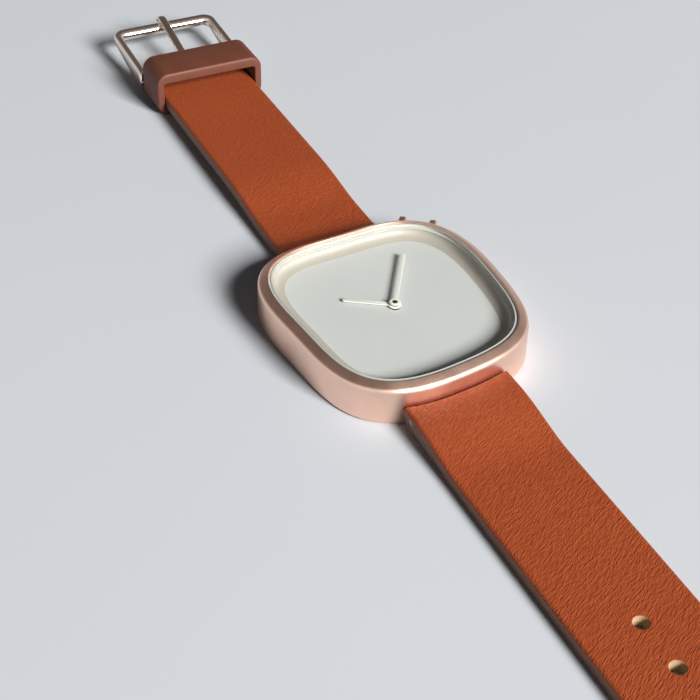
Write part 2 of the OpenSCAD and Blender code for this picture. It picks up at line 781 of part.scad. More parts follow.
module strap_buckle_side() {
  steps = 24;
  slope_start = bar_12 + loop_r;
  slope_l = lift_from + lift_run - loop_r + 1;
  fold_end = bar_12 + short_fold;
  marks = concat([bar_12 - loop_r - end_l], round_marks(bar_12, loop_r),
                 [for (i = [1 : steps]) slope_start + slope_l * i / steps],
                 round_marks(pin_reach, pin_loop_r));
  under_marks = [for (i = [0 : len(marks) - 2]) marks[i]];
  lows = concat([for (s = under_marks) if (s < fold_end) [s, strap_t + fold_t]],
                [[fold_end, strap_t + fold_t], [fold_end, strap_t]],
                [for (s = under_marks) if (s > fold_end) [s, strap_t]]);
  color("#b4552f") difference() {
    across(strap_w) side_view(
      [for (s = marks) [s, pin_end(s, buckle_side_top(s), 1)]],
      [for (low = lows)
        [low.x, pin_end(low.x, underside(low.x - bar_12, buckle_side_top(low.x), low.y), -1)]]);
    rim_prism(end_gap, -cut, case_h + cut);
    lug_pocket(bar_12);
    bar_hole(bar_12, bar_r + run_fit);
    translate([-strap_w, pin_reach, pin_z]) rotate([0, 90, 0]) cylinder(2 * strap_w, r = pin_bore_r);
    translate([-slot_w / 2, pin_reach - slot_l, -cut]) cube([slot_w, slot_l + 5, case_h + cut]);
  }
}

module strap_bar(reach) {
  bar_l = strap_w - 0.2;
  color("#c9c6c0") translate([-bar_l / 2, reach, bar_z]) rotate([0, 90, 0]) cylinder(bar_l, r = bar_r);
}

module strap_bar_12() {
  strap_bar(bar_12);
}

module strap_bar_6() {
  strap_bar(-bar_6);
}

// A rectangle with round corners, centred on X and standing on Y = 0
module round_rect(w, h, r) {
  translate([-w / 2, r]) square([w, h - 2 * r]);
  translate([r - w / 2, 0]) square([w - 2 * r, h]);
  for (x = [r - w / 2, w / 2 - r], y = [r, h - r])
    translate([x, y]) circle(r);
}

module keeper() {
  outer_w = keeper_inner_w + 2 * keeper_side;
  color("#8a5540") translate([0, keeper_far, 0]) rotate([90, 0, 0]) difference() {
    linear_extrude(keeper_l) round_rect(outer_w, keeper_h, keeper_corner_r);
    translate([0, keeper_floor, -cut]) linear_extrude(keeper_l + 2 * cut)
      round_rect(keeper_inner_w, keeper_inner_h, 0.4);
  }
}

// Side view of a buckle arm: two rounds and the straights that touch both
module arm_side() {
  touch = acos((arm_r - outer_bar_r) / arm_span);
  polygon(concat(arc([pin_reach, pin_z], arm_r, arm_angle + touch, arm_angle + 360 - touch),
                 arc([bar_end, outer_bar_z], outer_bar_r, arm_angle - touch, arm_angle + touch)));
}

// Plan of a frame that is square at one end and round-cornered at the other
module frame_plan(w, from, to, r) {
  translate([0, 0, -cut]) linear_extrude(3 * case_h) {
    translate([-w / 2, from]) square([w, to - r - from]);
    translate([r - w / 2, from]) square([w - 2 * r, to - from]);
    for (x = [r - w / 2, w / 2 - r])
      translate([x, to - r]) circle(r);
  }
}

module buckle_frame() {
  inner_r = 1;
  start = pin_reach - arm_r - cut;
  color("#d9b49c") difference() {
    intersection() {
      across(frame_w) arm_side();
      frame_plan(frame_w, start, bar_end + outer_bar_r + 0.02, buckle_corner_r);
    }
    frame_plan(window_w, start - cut, bar_end - outer_bar_r, inner_r);
    translate([-frame_w, pin_reach, pin_z]) rotate([0, 90, 0]) cylinder(2 * frame_w, r = pin_r + 0.01);
  }
}

module buckle_pin() {
  pin_l = frame_w - 0.4;
  color("#c8c4bd") translate([-pin_l / 2, pin_reach, pin_z]) rotate([0, 90, 0]) cylinder(pin_l, r = pin_r);
}

module buckle_tongue() {
  bend_r = outer_bar_r + tongue_gap + tongue_t / 2;
  eye_r = pin_bore_r + 0.5;
  start = [pin_reach, pin_z + eye_r - tongue_t / 2];
  middle = [bar_end, outer_bar_z];
  to_bar = middle - start;
  slope = atan2(to_bar.y, to_bar.x) + asin(bend_r / norm(to_bar));
  tip_turn = 35;
  side = tongue_t / 2 * [-sin(slope), cos(slope)];
  under = arc(middle, bend_r - tongue_t / 2, tip_turn, 90 + slope);
  over = arc(middle, bend_r + tongue_t / 2, tip_turn, 90 + slope);
  color("#d9b49c") difference() {
    union() {
      across(tongue_w) translate([pin_reach, pin_z]) circle(eye_r);
      across(tongue_w)
        polygon(concat([start - side], [for (i = [len(under) - 1 : -1 : 0]) under[i]], over, [start + side]));
    }
    translate([-tongue_w, pin_reach, pin_z]) rotate([0, 90, 0]) cylinder(2 * tongue_w, r = pin_bore_r);
  }
}

case_body();
case_back();
case_back_gasket();
case_back_screws();
crystal();
crystal_gasket();
flange_ring();
dial();
hour_hand();
minute_hand();
cannon_pinion();
minute_wheel();
hour_wheel();
movement_holder();
movement_plate();
battery();
battery_clip();
coil();
coil_core();
circuit_board();
movement_cover();
setting_pinion();
winding_stem();
crown_tube();
crown_gasket();
crown();
strap_bar_12();
strap_bar_6();
strap_buckle_side();
strap_hole_side();
keeper();
buckle_frame();
buckle_pin();
buckle_tongue();
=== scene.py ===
"""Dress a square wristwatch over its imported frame: pieces, finishes, floor, light and camera.

Sizes in the classes are in millimetres, and a mesh is brought to metres when it becomes a piece.
Directions follow the frame: +Z out of the dial, +Y towards 12 o'clock, +X towards 3 o'clock.
"""

import logging
from dataclasses import dataclass, field, replace
from enum import Enum
from math import asin, atan2, cos, degrees, hypot, pi, radians, sin, sqrt, tan
from typing import Callable, Dict, List, Optional, Sequence, Tuple, Union

import bmesh
import bpy
from mathutils import Matrix, Vector


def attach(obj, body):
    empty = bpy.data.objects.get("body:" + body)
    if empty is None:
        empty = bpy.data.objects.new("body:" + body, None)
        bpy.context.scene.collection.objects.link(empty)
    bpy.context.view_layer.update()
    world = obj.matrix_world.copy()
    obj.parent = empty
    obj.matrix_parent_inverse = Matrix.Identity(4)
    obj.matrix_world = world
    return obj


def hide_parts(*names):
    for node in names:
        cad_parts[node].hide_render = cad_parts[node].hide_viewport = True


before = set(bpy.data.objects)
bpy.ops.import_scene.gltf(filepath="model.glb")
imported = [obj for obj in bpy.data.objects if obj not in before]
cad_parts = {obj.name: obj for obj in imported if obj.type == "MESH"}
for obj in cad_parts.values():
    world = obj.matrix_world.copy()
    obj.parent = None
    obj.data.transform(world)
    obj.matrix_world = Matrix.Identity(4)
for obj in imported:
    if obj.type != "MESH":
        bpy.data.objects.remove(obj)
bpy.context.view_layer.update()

LOG = logging.getLogger("watch")
MM = 0.001
CLEAR = 1.0  # how far a cutter starts outside what it cuts

Point = Tuple[float, float, float]
Flat = Tuple[float, float]
Colour = Tuple[float, float, float]
Stops = Sequence[Tuple[float, Colour]]
BMesh = bmesh.types.BMesh
Edge = bmesh.types.BMEdge
Verts = Sequence[bmesh.types.BMVert]
Material = bpy.types.Material
Socket = bpy.types.NodeSocket


class End(Enum):
    """The two ends of the case that carry a strap piece, as the sign of Y."""

    TWELVE = 1
    SIX = -1


class Zone(Enum):
    """Faces of a strap piece, as the index of their finish."""

    GRAIN = 0
    EDGE = 1
    LINING = 2
    RAW = 3


class Surface(Enum):
    """Ways in which metal is worked, as the stretch of its grain."""

    EVEN = (1, 1, 1)
    BRUSHED = (1, 0.04, 0.04)
    TURNED = (0.1, 0.1, 1)


def rgb(red: int, green: int, blue: int) -> Colour:
    """Linear colour of an 8-bit sRGB colour."""
    return tuple(((v / 255 + 0.055) / 1.055) ** 2.4 if v > 10 else v / 255 / 12.92
                 for v in (red, green, blue))


def shade(colour: Colour, factor: float) -> Colour:
    """Colour times a factor, at most white."""
    return tuple(min(v * factor, 1) for v in colour)


def ease(amount: float) -> float:
    """Smooth step from 0 to 1."""
    v = min(max(amount, 0.0), 1.0)
    return v * v * (3 - 2 * v)


def nearness(distance: float, reach: float) -> float:
    """How near an edge is: 0 from a reach away, 1 on it."""
    return max(reach - distance, 0) / reach


def quarter_round(share: float) -> float:
    """Drop along a quarter round, from 0 to 1."""
    e = min(share, 1)
    return 1 - sqrt(1 - e * e)


def arc(centre: Flat, radius: float, angles: Sequence[float]) -> List[Flat]:
    """Points round a centre at angles in degrees."""
    return [(centre[0] + radius * cos(radians(a)), centre[1] + radius * sin(radians(a)))
            for a in angles]


def squared(power: float, count: int, turned: float = 0.0) -> List[Flat]:
    """Unit circle with its sides drawn out flat.

    Args:
        power: 2 is round, and more is squarer.
        count: Points round it.
        turned: Angle in degrees that its flats are turned by.

    Returns:
        The points.
    """
    points = []
    for k in range(count):
        a = radians(360 * k / count)
        if turned:
            t = a - radians(turned)
            r = (abs(cos(t)) ** power + abs(sin(t)) ** power) ** (-1 / power)
            r *= 2 ** (1 / power - 0.5)
            points.append((r * cos(a), r * sin(a)))
        else:
            points.append(tuple(abs(v) ** (2 / power) * (1 if v >= 0 else -1)
                                for v in (cos(a), sin(a))))
    return points


def rounded(corners: Sequence[Point], steps: int = 5, closed: bool = True) -> List[Flat]:
    """Round the corners of a flat outline.

    Args:
        corners: First and second coordinate of each corner, and its radius.
        steps: Straights along each rounded corner.
        closed: True for an outline that comes back to its start.

    Returns:
        Points of the rounded outline.
    """
    most = 0.48  # share of a side that one corner may take
    found = []
    count = len(corners)
    for i, (x, y, radius) in enumerate(corners):
        here = Vector((x, y))
        if radius <= 0 or (not closed and i in (0, count - 1)):
            found.append((x, y))
            continue
        back = Vector(corners[i - 1][:2]) - here
        ahead = Vector(corners[(i + 1) % count][:2]) - here
        room = most * min(back.length, ahead.length)
        back.normalize()
        ahead.normalize()
        half = back.angle(ahead) / 2
        reach = min(radius / tan(half), room)
        radius = reach * tan(half)
        middle = here + (back + ahead).normalized() * radius / sin(half)
        start, stop = here + back * reach - middle, here + ahead * reach - middle
        turn = start.angle_signed(stop)
        for k in range(steps + 1):
            arm = start.copy()
            arm.rotate(Matrix.Rotation(-turn * k / steps, 2))
            found.append((middle.x + arm.x, middle.y + arm.y))
    return found


def loop_edges(bm: BMesh, verts: Verts) -> List[Edge]:
    """Edges that join a loop's vertices, the last to the first as well."""
    return [bm.edges.get((a, b)) for a, b in zip(verts, list(verts[1:]) + [verts[0]])]


def next_loop(bm: BMesh, verts: Verts, points: Sequence[Point]) -> Verts:
    """Extrude a loop to its next place.

    Args:
        bm: Mesh that is being built.
        verts: The loop to extrude.
        points: Where the new loop's vertices go, in the same order.

    Returns:
        The new loop's vertices, in the points' order.
    """
    made = bmesh.ops.extrude_edge_only(bm, edges=loop_edges(bm, verts))
    old = set(verts)
    partner = {}
    for vert in made["geom"]:
        if isinstance(vert, bmesh.types.BMVert):
            for edge in vert.link_edges:
                if edge.other_vert(vert) in old:
                    partner[edge.other_vert(vert)] = vert
    loop = [partner[vert] for vert in verts]
    for vert, point in zip(loop, points):
        vert.co = point
    return loop


def loft(bm: BMesh, loops: Sequence[Sequence[Point]], ring: bool = False) -> List[Verts]:
    """Skin a row of loops with the same number of points.

    Args:
        bm: Mesh that is being built.
        loops: The loops, from first to last.
        ring: True joins the last loop to the first, False caps both.

    Returns:
        The vertices of each loop.
    """
    made = bmesh.ops.create_circle(bm, cap_ends=False, radius=1.0, segments=len(loops[0]))
    rows = [list(made["verts"])]
    for vert, point in zip(rows[0], loops[0]):
        vert.co = point
    for points in loops[1:]:
        rows.append(next_loop(bm, rows[-1], points))
    ends = loop_edges(bm, rows[0]), loop_edges(bm, rows[-1])
    if ring:
        bmesh.ops.bridge_loops(bm, edges=ends[0] + ends[1])
    else:
        for edges in ends:
            bmesh.ops.contextual_create(bm, geom=edges)
    return rows


def lofted(loops: Sequence[Sequence[Point]], ring: bool = False) -> BMesh:
    """Skin a row of loops as a mesh of its own.

    Args:
        loops: The loops, from first to last.
        ring: True joins the last loop to the first, False caps both.

    Returns:
        The mesh.
    """
    bm = bmesh.new()
    loft(bm, loops, ring)
    return bm


def as_object(bm: BMesh, name: str) -> bpy.types.Object:
    """Put a mesh in the scene.

    Args:
        bm: The mesh, which is freed.
        name: Name of the object and of its data.

    Returns:
        The object, at the origin.
    """
    made = bpy.data.objects.new(name, bpy.data.meshes.new(name))
    bm.to_mesh(made.data)
    bm.free()
    bpy.context.scene.collection.objects.link(made)
    return made


def finish_mesh(bm: BMesh, name: str, crease: float = 35) -> bpy.types.Object:
    """Make an object of a mesh in millimetres.

    Args:
        bm: Mesh in millimetres, which is freed.
        name: Name of the object.
        crease: Angle in degrees above which an edge stays sharp.

    Returns:
        The object, at the origin, in metres.
    """
    bmesh.ops.remove_doubles(bm, verts=bm.verts[:], dist=1e-5)
    bmesh.ops.recalc_face_normals(bm, faces=bm.faces[:])
    bmesh.ops.scale(bm, vec=(MM, MM, MM), verts=bm.verts[:])
    made = as_object(bm, name)
    for face in made.data.polygons:
        face.use_smooth = True
    made.data.set_sharp_from_angle(angle=radians(crease))
    return made


def cut_away(bm: BMesh, cutters: Sequence[BMesh], join: bool = False) -> BMesh:
    """Take cutters out of a solid mesh, or join them to it.

    Args:
        bm: Solid in millimetres, which is freed.
        cutters: Solids in millimetres, which are freed.
        join: True joins the solids instead of cutting.

    Returns:
        A new mesh with the result.
    """
    solids = []
    for solid in [bm, *cutters]:
        bmesh.ops.recalc_face_normals(solid, faces=solid.faces[:])
        solids.append(as_object(solid, "stock"))
    for tool in solids[1:]:
        step = solids[0].modifiers.new("cut", "BOOLEAN")
        step.operation = "UNION" if join else "DIFFERENCE"
        step.solver = "EXACT"
        step.object = tool
    bpy.context.view_layer.update()
    done = bmesh.new()
    done.from_object(solids[0], bpy.context.evaluated_depsgraph_get())
    for solid in solids:
        data = solid.data
        bpy.data.objects.remove(solid)
        bpy.data.meshes.remove(data)
    return done


def soften_rims(bm: BMesh, picked: Callable[[Edge], bool], width: float, segments: int = 2) -> None:
    """Bevel the edges that a test picks.

    Args:
        bm: Mesh in millimetres.
        picked: Test for an edge.
        width: Width of the bevel.
        segments: Steps across it.
    """
    edges = [edge for edge in bm.edges if len(edge.link_faces) == 2 and picked(edge)]
    bmesh.ops.bevel(bm, geom=edges, offset=width, segments=segments, profile=0.5,
                    affect="EDGES", material=-1, clamp_overlap=True)


def square_to(axis: int) -> Callable[[Edge], bool]:
    """Test for the edges that lie square to an axis, by its index."""
    return lambda edge: abs(edge.verts[0].co[axis] - edge.verts[1].co[axis]) < 1e-6


def mark_zone(bm: BMesh, zone: Zone) -> BMesh:
    """Give every face of a mesh a zone's finish.

    Args:
        bm: The mesh.
        zone: The zone.

    Returns:
        The same mesh.
    """
    for face in bm.faces:
        face.material_index = zone.value
    return bm


def rod(start: Point, axis: Point, radius: float, length: float, segments: int = 48,
        zone: Zone = Zone.GRAIN) -> BMesh:
    """Round cutter.

    Args:
        start: Middle of its first end.
        axis: Direction of its length.
        radius: Its radius.
        length: Its length.
        segments: Sides round it.
        zone: Finish that its faces leave behind.

    Returns:
        The cutter's mesh.
    """
    bm = bmesh.new()
    bmesh.ops.create_cone(bm, cap_ends=True, segments=segments, radius1=radius, radius2=radius,
                          depth=length)
    bmesh.ops.translate(bm, vec=(0, 0, length / 2), verts=bm.verts[:])
    turn = Vector((0, 0, 1)).rotation_difference(Vector(axis)).to_matrix()
    bmesh.ops.rotate(bm, cent=(0, 0, 0), matrix=turn, verts=bm.verts[:])
    bmesh.ops.translate(bm, vec=start, verts=bm.verts[:])
    return mark_zone(bm, zone)


def block(low: Point, high: Point, zone: Zone, corner: float = 0.0) -> BMesh:
    """Square cutter, with its upright edges rounded if asked.

    Args:
        low: Lowest corner.
        high: Highest corner.
        zone: Finish that its faces leave behind.
        corner: Radius of its upright edges.

    Returns:
        The cutter's mesh.
    """
    bm = bmesh.new()
    bmesh.ops.create_cube(bm, size=1.0)
    bmesh.ops.scale(bm, vec=[b - a for a, b in zip(low, high)], verts=bm.verts[:])
    bmesh.ops.translate(bm, vec=[(a + b) / 2 for a, b in zip(low, high)], verts=bm.verts[:])
    if corner > 0:
        upright = square_to(0), square_to(1)
        soften_rims(bm, lambda e: all(test(e) for test in upright), corner, segments=6)
    return mark_zone(bm, zone)


def dress(piece: bpy.types.Object, body: str, nodes: Sequence[str],
          finishes: Sequence[Material]) -> None:
    """Give a piece its finishes and body, hide the CAD nodes that it stands for, and log it.

    Args:
        piece: The object.
        body: Body that it rides on.
        nodes: CAD nodes that it stands for.
        finishes: Its materials, in index order.
    """
    for finish in finishes:
        piece.data.materials.append(finish)
    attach(piece, body)
    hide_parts(*nodes)
    LOG.info("%s: %d faces, on %s", piece.name, len(piece.data.polygons), body)


class NodeSheet:
    """A node tree, with short calls for the nodes that the finishes and the room use."""

    def __init__(self, tree: bpy.types.NodeTree) -> None:
        """Start with an empty tree."""
        self.tree = tree
        tree.nodes.clear()

    def feed(self, target: Socket, value: object) -> None:
        """Link a socket to an input, or give the input a constant.

        Args:
            target: The input.
            value: A socket or a constant.
        """
        if isinstance(value, Socket):
            self.tree.links.new(value, target)
        else:
            target.default_value = value

    def add(self, kind: str, feeds: Optional[Dict[Union[str, int], object]] = None,
            **settings: object) -> bpy.types.Node:
        """Add a node.

        Args:
            kind: The node's type.
            feeds: Socket or constant for each input that it needs.
            **settings: Its properties.

        Returns:
            The node.
        """
        node = self.tree.nodes.new(kind)
        for key, value in settings.items():
            setattr(node, key, value)
        for key, value in (feeds or {}).items():
            self.feed(node.inputs[key], value)
        return node

    def math(self, operation: str, *values: object) -> Socket:
        """Result of an operation on sockets and numbers."""
        node = self.add("ShaderNodeMath", dict(enumerate(values)), operation=operation)
        return node.outputs["Value"]

    def mixed(self, *parts: Tuple[Socket, float]) -> Socket:
        """Weighted sum of values.

        Args:
            *parts: Each value and its weight.

        Returns:
            The sum.
        """
        total = 0.0
        for source, weight in parts:
            total = self.math("MULTIPLY_ADD", source, weight, total)
        return total

    def spread(self, source: Socket, low: float, high: float, to_low: float = 0.0,
               to_high: float = 1.0) -> Socket:
        """Map a range of values to another, clamped.

        Args:
            source: The value.
            low: Value that becomes to_low.
            high: Value that becomes to_high.
            to_low: Result at the low end.
            to_high: Result at the high end.

        Returns:
            The mapped value.
        """
        return self.add("ShaderNodeMapRange", {
            "Value": source, "From Min": low, "From Max": high, "To Min": to_low,
            "To Max": to_high}).outputs["Result"]

    def ramp(self, source: Socket, stops: Stops) -> Socket:
        """Colour picked along a ramp.

        Args:
            source: Value from 0 to 1.
            stops: Place and colour of each stop.

        Returns:
            The colour.
        """
        node = self.add("ShaderNodeValToRGB", {"Fac": source})
        elements = node.color_ramp.elements
        while len(elements) < len(stops):
            elements.new(0.5)
        for element, (place, colour) in zip(elements, stops):
            element.position = place
            element.color = (*colour, 1)
        return node.outputs["Color"]

    def either(self, amount: Socket, first: Socket, second: Socket) -> Socket:
        """Shader that goes from a first one to a second."""
        feeds = {"Fac": amount, 1: first, 2: second}
        return self.add("ShaderNodeMixShader", feeds).outputs["Shader"]


class Recipe(NodeSheet):
    """One material's nodes round its Principled shader."""

    def __init__(self, name: str) -> None:
        """Start a material with a plain shader.

        Args:
            name: The material's name.
        """
        self.material = bpy.data.materials.new(name)
        self.material.use_nodes = True
        super().__init__(self.material.node_tree)
        self.shader = self.add("ShaderNodeBsdfPrincipled")
        self.output = self.add("ShaderNodeOutputMaterial", {"Surface": self.shader.outputs["BSDF"]})
        self.place = self.add("ShaderNodeTexCoord").outputs["Object"]

    def set(self, **values: object) -> None:
        """Set constant values on the shader, with underscores for spaces in their names."""
        for key, value in values.items():
            self.shader.inputs[key.replace("_", " ")].default_value = value

    def stretched(self, scale: Point, turn: float = 0.0) -> Socket:
        """Object coordinates scaled along axes that may be turned.

        Args:
            scale: Factor along each axis.
            turn: Turn of the axes about Z in degrees.

        Returns:
            The scaled coordinates.
        """
        return self.add("ShaderNodeMapping", {
            "Scale": tuple(1 / v for v in scale), "Rotation": (0, 0, radians(turn)),
            "Vector": self.place}, vector_type="TEXTURE").outputs["Vector"]

    def noise(self, per_mm: float, detail: float = 2.0, rough: float = 0.5,
              stretch: Point = (1, 1, 1), turn: float = 0.0, warp: float = 0.0) -> Socket:
        """Noise with a given number of features to the millimetre.

        Args:
            per_mm: Features to the millimetre.
            detail: Octaves.
            rough: Weight of the finer octaves.
            stretch: Factor along each axis.
            turn: Turn about Z in degrees.
            warp: Distortion.

        Returns:
            The noise, about 0 to 1.
        """
        return self.add("ShaderNodeTexNoise", {
            "Scale": per_mm / MM, "Detail": detail, "Roughness": rough, "Distortion": warp,
            "Vector": self.stretched(stretch, turn)}).outputs["Fac"]

    def tone(self, source: Socket, stops: Stops) -> None:
        """Colour the shader along a ramp, by a value from 0 to 1."""
        self.feed(self.shader.inputs["Base Color"], self.ramp(source, stops))

    def gloss(self, source: Socket, to_low: float, to_high: float, low: float = 0.3,
              high: float = 0.7) -> None:
        """Vary the shader's roughness.

        Args:
            source: The value that it follows.
            to_low: Roughness at the low end.
            to_high: Roughness at the high end.
            low: Value at the low end.
            high: Value at the high end.
        """
        self.feed(self.shader.inputs["Roughness"], self.spread(source, low, high, to_low, to_high))

    def relief(self, height: Socket, depth_mm: float) -> None:
        """Bump the shader's normal by a height from 0 to 1, where 1 is a depth in millimetres."""
        bump = self.add("ShaderNodeBump", {"Distance": depth_mm * MM, "Height": height})
        self.feed(self.shader.inputs["Normal"], bump.outputs["Normal"])


@dataclass(frozen=True)
class Finish:
    """A named finish of the watch."""

    name: str

    def build(self) -> Material:
        """Make the material.

        Returns:
            The material, under the finish's name.
        """
        make = Recipe(self.name)
        self.fill(make)
        return make.material

    def fill(self, make: Recipe) -> None:
        """Add the finish's own nodes to a recipe."""
        raise NotImplementedError


@dataclass(frozen=True)
class SatinMetal(Finish):
    """A coated or plain metal with a fine grain."""

    colour: Colour
    roughness: float = 0.3
    surface: Surface = Surface.EVEN
    grain_mm: float = 0.12
    depth_mm: float = 0.004
    mottle: float = 0.06

    def fill(self, make: Recipe) -> None:
        """Add the worked grain and cloudy patches.

        Args:
            make: The recipe to fill.
        """
        grain = make.noise(1 / self.grain_mm, detail=3, rough=0.65, stretch=self.surface.value)
        patches = make.noise(0.25, detail=3)
        dark = shade(self.colour, 1 - 2 * self.mottle)
        light = shade(self.colour, 1 + self.mottle)
        make.tone(make.mixed((grain, 0.6), (patches, 0.4)), [(0.3, dark), (0.7, light)])
        make.gloss(make.mixed((grain, 0.5), (patches, 0.5)), self.roughness * 0.85,
                   self.roughness * 1.2)
        make.set(Metallic=1.0)
        make.relief(grain, self.depth_mm)


@dataclass(frozen=True)
class Lacquer(Finish):
    """A smooth painted face with the faintest orange peel and dust."""

    colour: Colour
    roughness: float = 0.4
    peel_mm: float = 0.35
    depth_mm: float = 0.0015

    def fill(self, make: Recipe) -> None:
        """Add the peel and a faint cloud.

        Args:
            make: The recipe to fill.
        """
        peel = make.noise(1 / self.peel_mm, detail=2)
        cloud = make.noise(0.12, detail=3)
        make.tone(make.mixed((peel, 0.25), (cloud, 0.75)),
                  [(0.35, shade(self.colour, 0.955)), (0.65, self.colour)])
        make.gloss(peel, self.roughness * 0.9, self.roughness * 1.1)
        make.relief(peel, self.depth_mm)


@dataclass(frozen=True)
class Glass(Finish):
    """Clear glass that lets light reach what is under it."""

    name: str = "crystal_glass"
    tint: Colour = (0.985, 0.995, 0.99)
    ior: float = 1.12

    def fill(self, make: Recipe) -> None:
        """Add faint smears, and let shadow and diffuse rays straight through.

        Args:
            make: The recipe to fill.
        """
        make.set(Base_Color=(*self.tint, 1), Transmission_Weight=1.0, IOR=self.ior)
        make.gloss(make.noise(0.4, detail=3), 0.0, 0.02, 0.4, 0.8)
        rays = make.add("ShaderNodeLightPath").outputs
        through = make.add("ShaderNodeBsdfTransparent")
        dim = make.math("MAXIMUM", rays["Is Shadow Ray"], rays["Is Diffuse Ray"])
        make.feed(make.output.inputs["Surface"],
                  make.either(dim, make.shader.outputs["BSDF"], through.outputs["BSDF"]))


@dataclass(frozen=True)
class GroundGlass(Finish):
    """The ground bevel round the glass, pale where it catches the light."""

    name: str = "crystal_bevel"
    colour: Colour = rgb(196, 202, 201)
    roughness: float = 0.22

    def fill(self, make: Recipe) -> None:
        """Add the grinding's fine scratches.

        Args:
            make: The recipe to fill.
        """
        scratches = make.noise(6, detail=2)
        make.tone(scratches, [(0.3, shade(self.colour, 0.9)), (0.7, self.colour)])
        make.gloss(scratches, self.roughness * 0.85, self.roughness * 1.2)
        make.set(Transmission_Weight=0.25, IOR=1.5)


@dataclass(frozen=True)
class Moulding(Finish):
    """Moulded rubber or plastic with a fine texture."""

    colour: Colour
    roughness: float = 0.55
    grain_mm: float = 0.15
    depth_mm: float = 0.01
    mottle: float = 0.1

    def fill(self, make: Recipe) -> None:
        """Add the mould's texture and a faint cloud.

        Args:
            make: The recipe to fill.
        """
        grain = make.noise(1 / self.grain_mm, detail=4, rough=0.6)
        cloud = make.noise(0.3, detail=3)
        dark, light = shade(self.colour, 1 - self.mottle), shade(self.colour, 1 + self.mottle)
        make.tone(make.mixed((grain, 0.5), (cloud, 0.5)), [(0.3, dark), (0.7, light)])
        make.gloss(cloud, self.roughness * 0.9, self.roughness * 1.1)
        make.relief(grain, self.depth_mm)


@dataclass(frozen=True)
class Leather(Finish):
    """Finished hide: short wavy ridges that run aslant, with finer creases between them."""

    name: str = "strap_grain"
    # painted shade and painted highlight: the first colour below darkens the grain's low points and
    # the third lightens its tops
    shaded_valley: Colour = rgb(145, 63, 33)
    base: Colour = rgb(155, 71, 37)
    lit_ridge: Colour = rgb(166, 80, 43)
    ridge_mm: float = 0.34
    slant: float = 31
    depth_mm: float = 0.085
    roughness: float = 0.48

    def fill(self, make: Recipe) -> None:
        """Add the ridges and the creases, with painted shade in their low points and painted
        highlight on their tops, and the hide's uneven dye.

        Args:
            make: The recipe to fill.
        """
        ridges = make.noise(1.5 / self.ridge_mm, detail=0, stretch=(0.24, 1.1, 0.7),
                            turn=self.slant, warp=0.6)
        creases = make.noise(2.2 / self.ridge_mm, detail=0, stretch=(0.3, 1, 0.7),
                             turn=self.slant + 14, warp=0.5)
        cloud = make.noise(0.07, detail=2, rough=0.4)
        crisp = make.spread(make.mixed((ridges, 0.66), (creases, 0.34)), 0.25, 0.75)
        # painted shade in the grain's low points and painted highlight on its tops, mixed with the
        # hide's uneven dye
        make.tone(make.mixed((crisp, 0.75), (cloud, 0.25)),
                  [(0.12, self.shaded_valley), (0.45, self.base), (0.85, self.lit_ridge)])
        make.gloss(crisp, self.roughness * 1.2, self.roughness * 0.9, 0.2, 0.8)
        make.set(Specular_IOR_Level=0.3)
        make.relief(crisp, self.depth_mm)


@dataclass(frozen=True)
class PaintedEdge(Finish):
    """Edge paint on cut leather, built up in coats."""

    name: str = "strap_edge"
    colour: Colour = rgb(104, 68, 54)
    lift: Colour = rgb(134, 94, 78)

    def fill(self, make: Recipe) -> None:
        """Add the coats and their specks.

        Args:
            make: The recipe to fill.
        """
        coats = make.noise(1.4, detail=3, stretch=(0.3, 0.3, 2.2))
        height = make.mixed((coats, 0.7), (make.noise(7, detail=2), 0.3))
        make.tone(height, [(0.3, self.colour), (0.7, self.lift)])
        make.set(Roughness=0.5)
        make.relief(height, 0.03)


@dataclass(frozen=True)
class SplitLeather(Finish):
    """The suede side and the raw cut of a hide."""

    dark: Colour
    light: Colour
    fibre_mm: float = 0.16

    def fill(self, make: Recipe) -> None:
        """Add the fibres and their nap.

        Args:
            make: The recipe to fill.
        """
        fibres = make.noise(1 / self.fibre_mm, detail=5, rough=0.7)
        make.tone(make.mixed((fibres, 0.6), (make.noise(0.5, detail=3), 0.4)),
                  [(0.3, self.dark), (0.7, self.light)])
        make.set(Roughness=0.85, Sheen_Weight=0.3)
        make.relief(fibres, 0.05)


@dataclass(frozen=True)
class WoundWire(Finish):
    """Varnished wire wound side by side along Y."""

    name: str = "coil_copper"
    colour: Colour = (0.5, 0.16, 0.05)
    pitch_mm: float = 0.12

    def fill(self, make: Recipe) -> None:
        """Add one band for each turn of the wire.

        Args:
            make: The recipe to fill.
        """
        feeds = {"Scale": 1 / self.pitch_mm / MM / 6.28, "Vector": make.stretched((1, 1, 1))}
        wave = make.add("ShaderNodeTexWave", feeds, wave_type="BANDS", bands_direction="Y")
        turns = wave.outputs["Fac"]
        make.tone(turns, [(0.1, shade(self.colour, 0.35)), (0.6, self.colour)])
        make.set(Metallic=1.0, Roughness=0.3)
        make.relief(turns, 0.04)


@dataclass(frozen=True)
class TablePaint(Finish):
    """The plain pale table that the watch lies on."""

    name: str = "table_paint"
    colour: Colour = rgb(205, 211, 219)

    def fill(self, make: Recipe) -> None:
        """Add a faint cloud to flat paint.

        Args:
            make: The recipe to fill.
        """
        cloud = make.noise(0.01, detail=2)
        make.tone(cloud, [(0.35, shade(self.colour, 0.985)), (0.65, self.colour)])
        make.set(Roughness=1.0, Specular_IOR_Level=0.0)


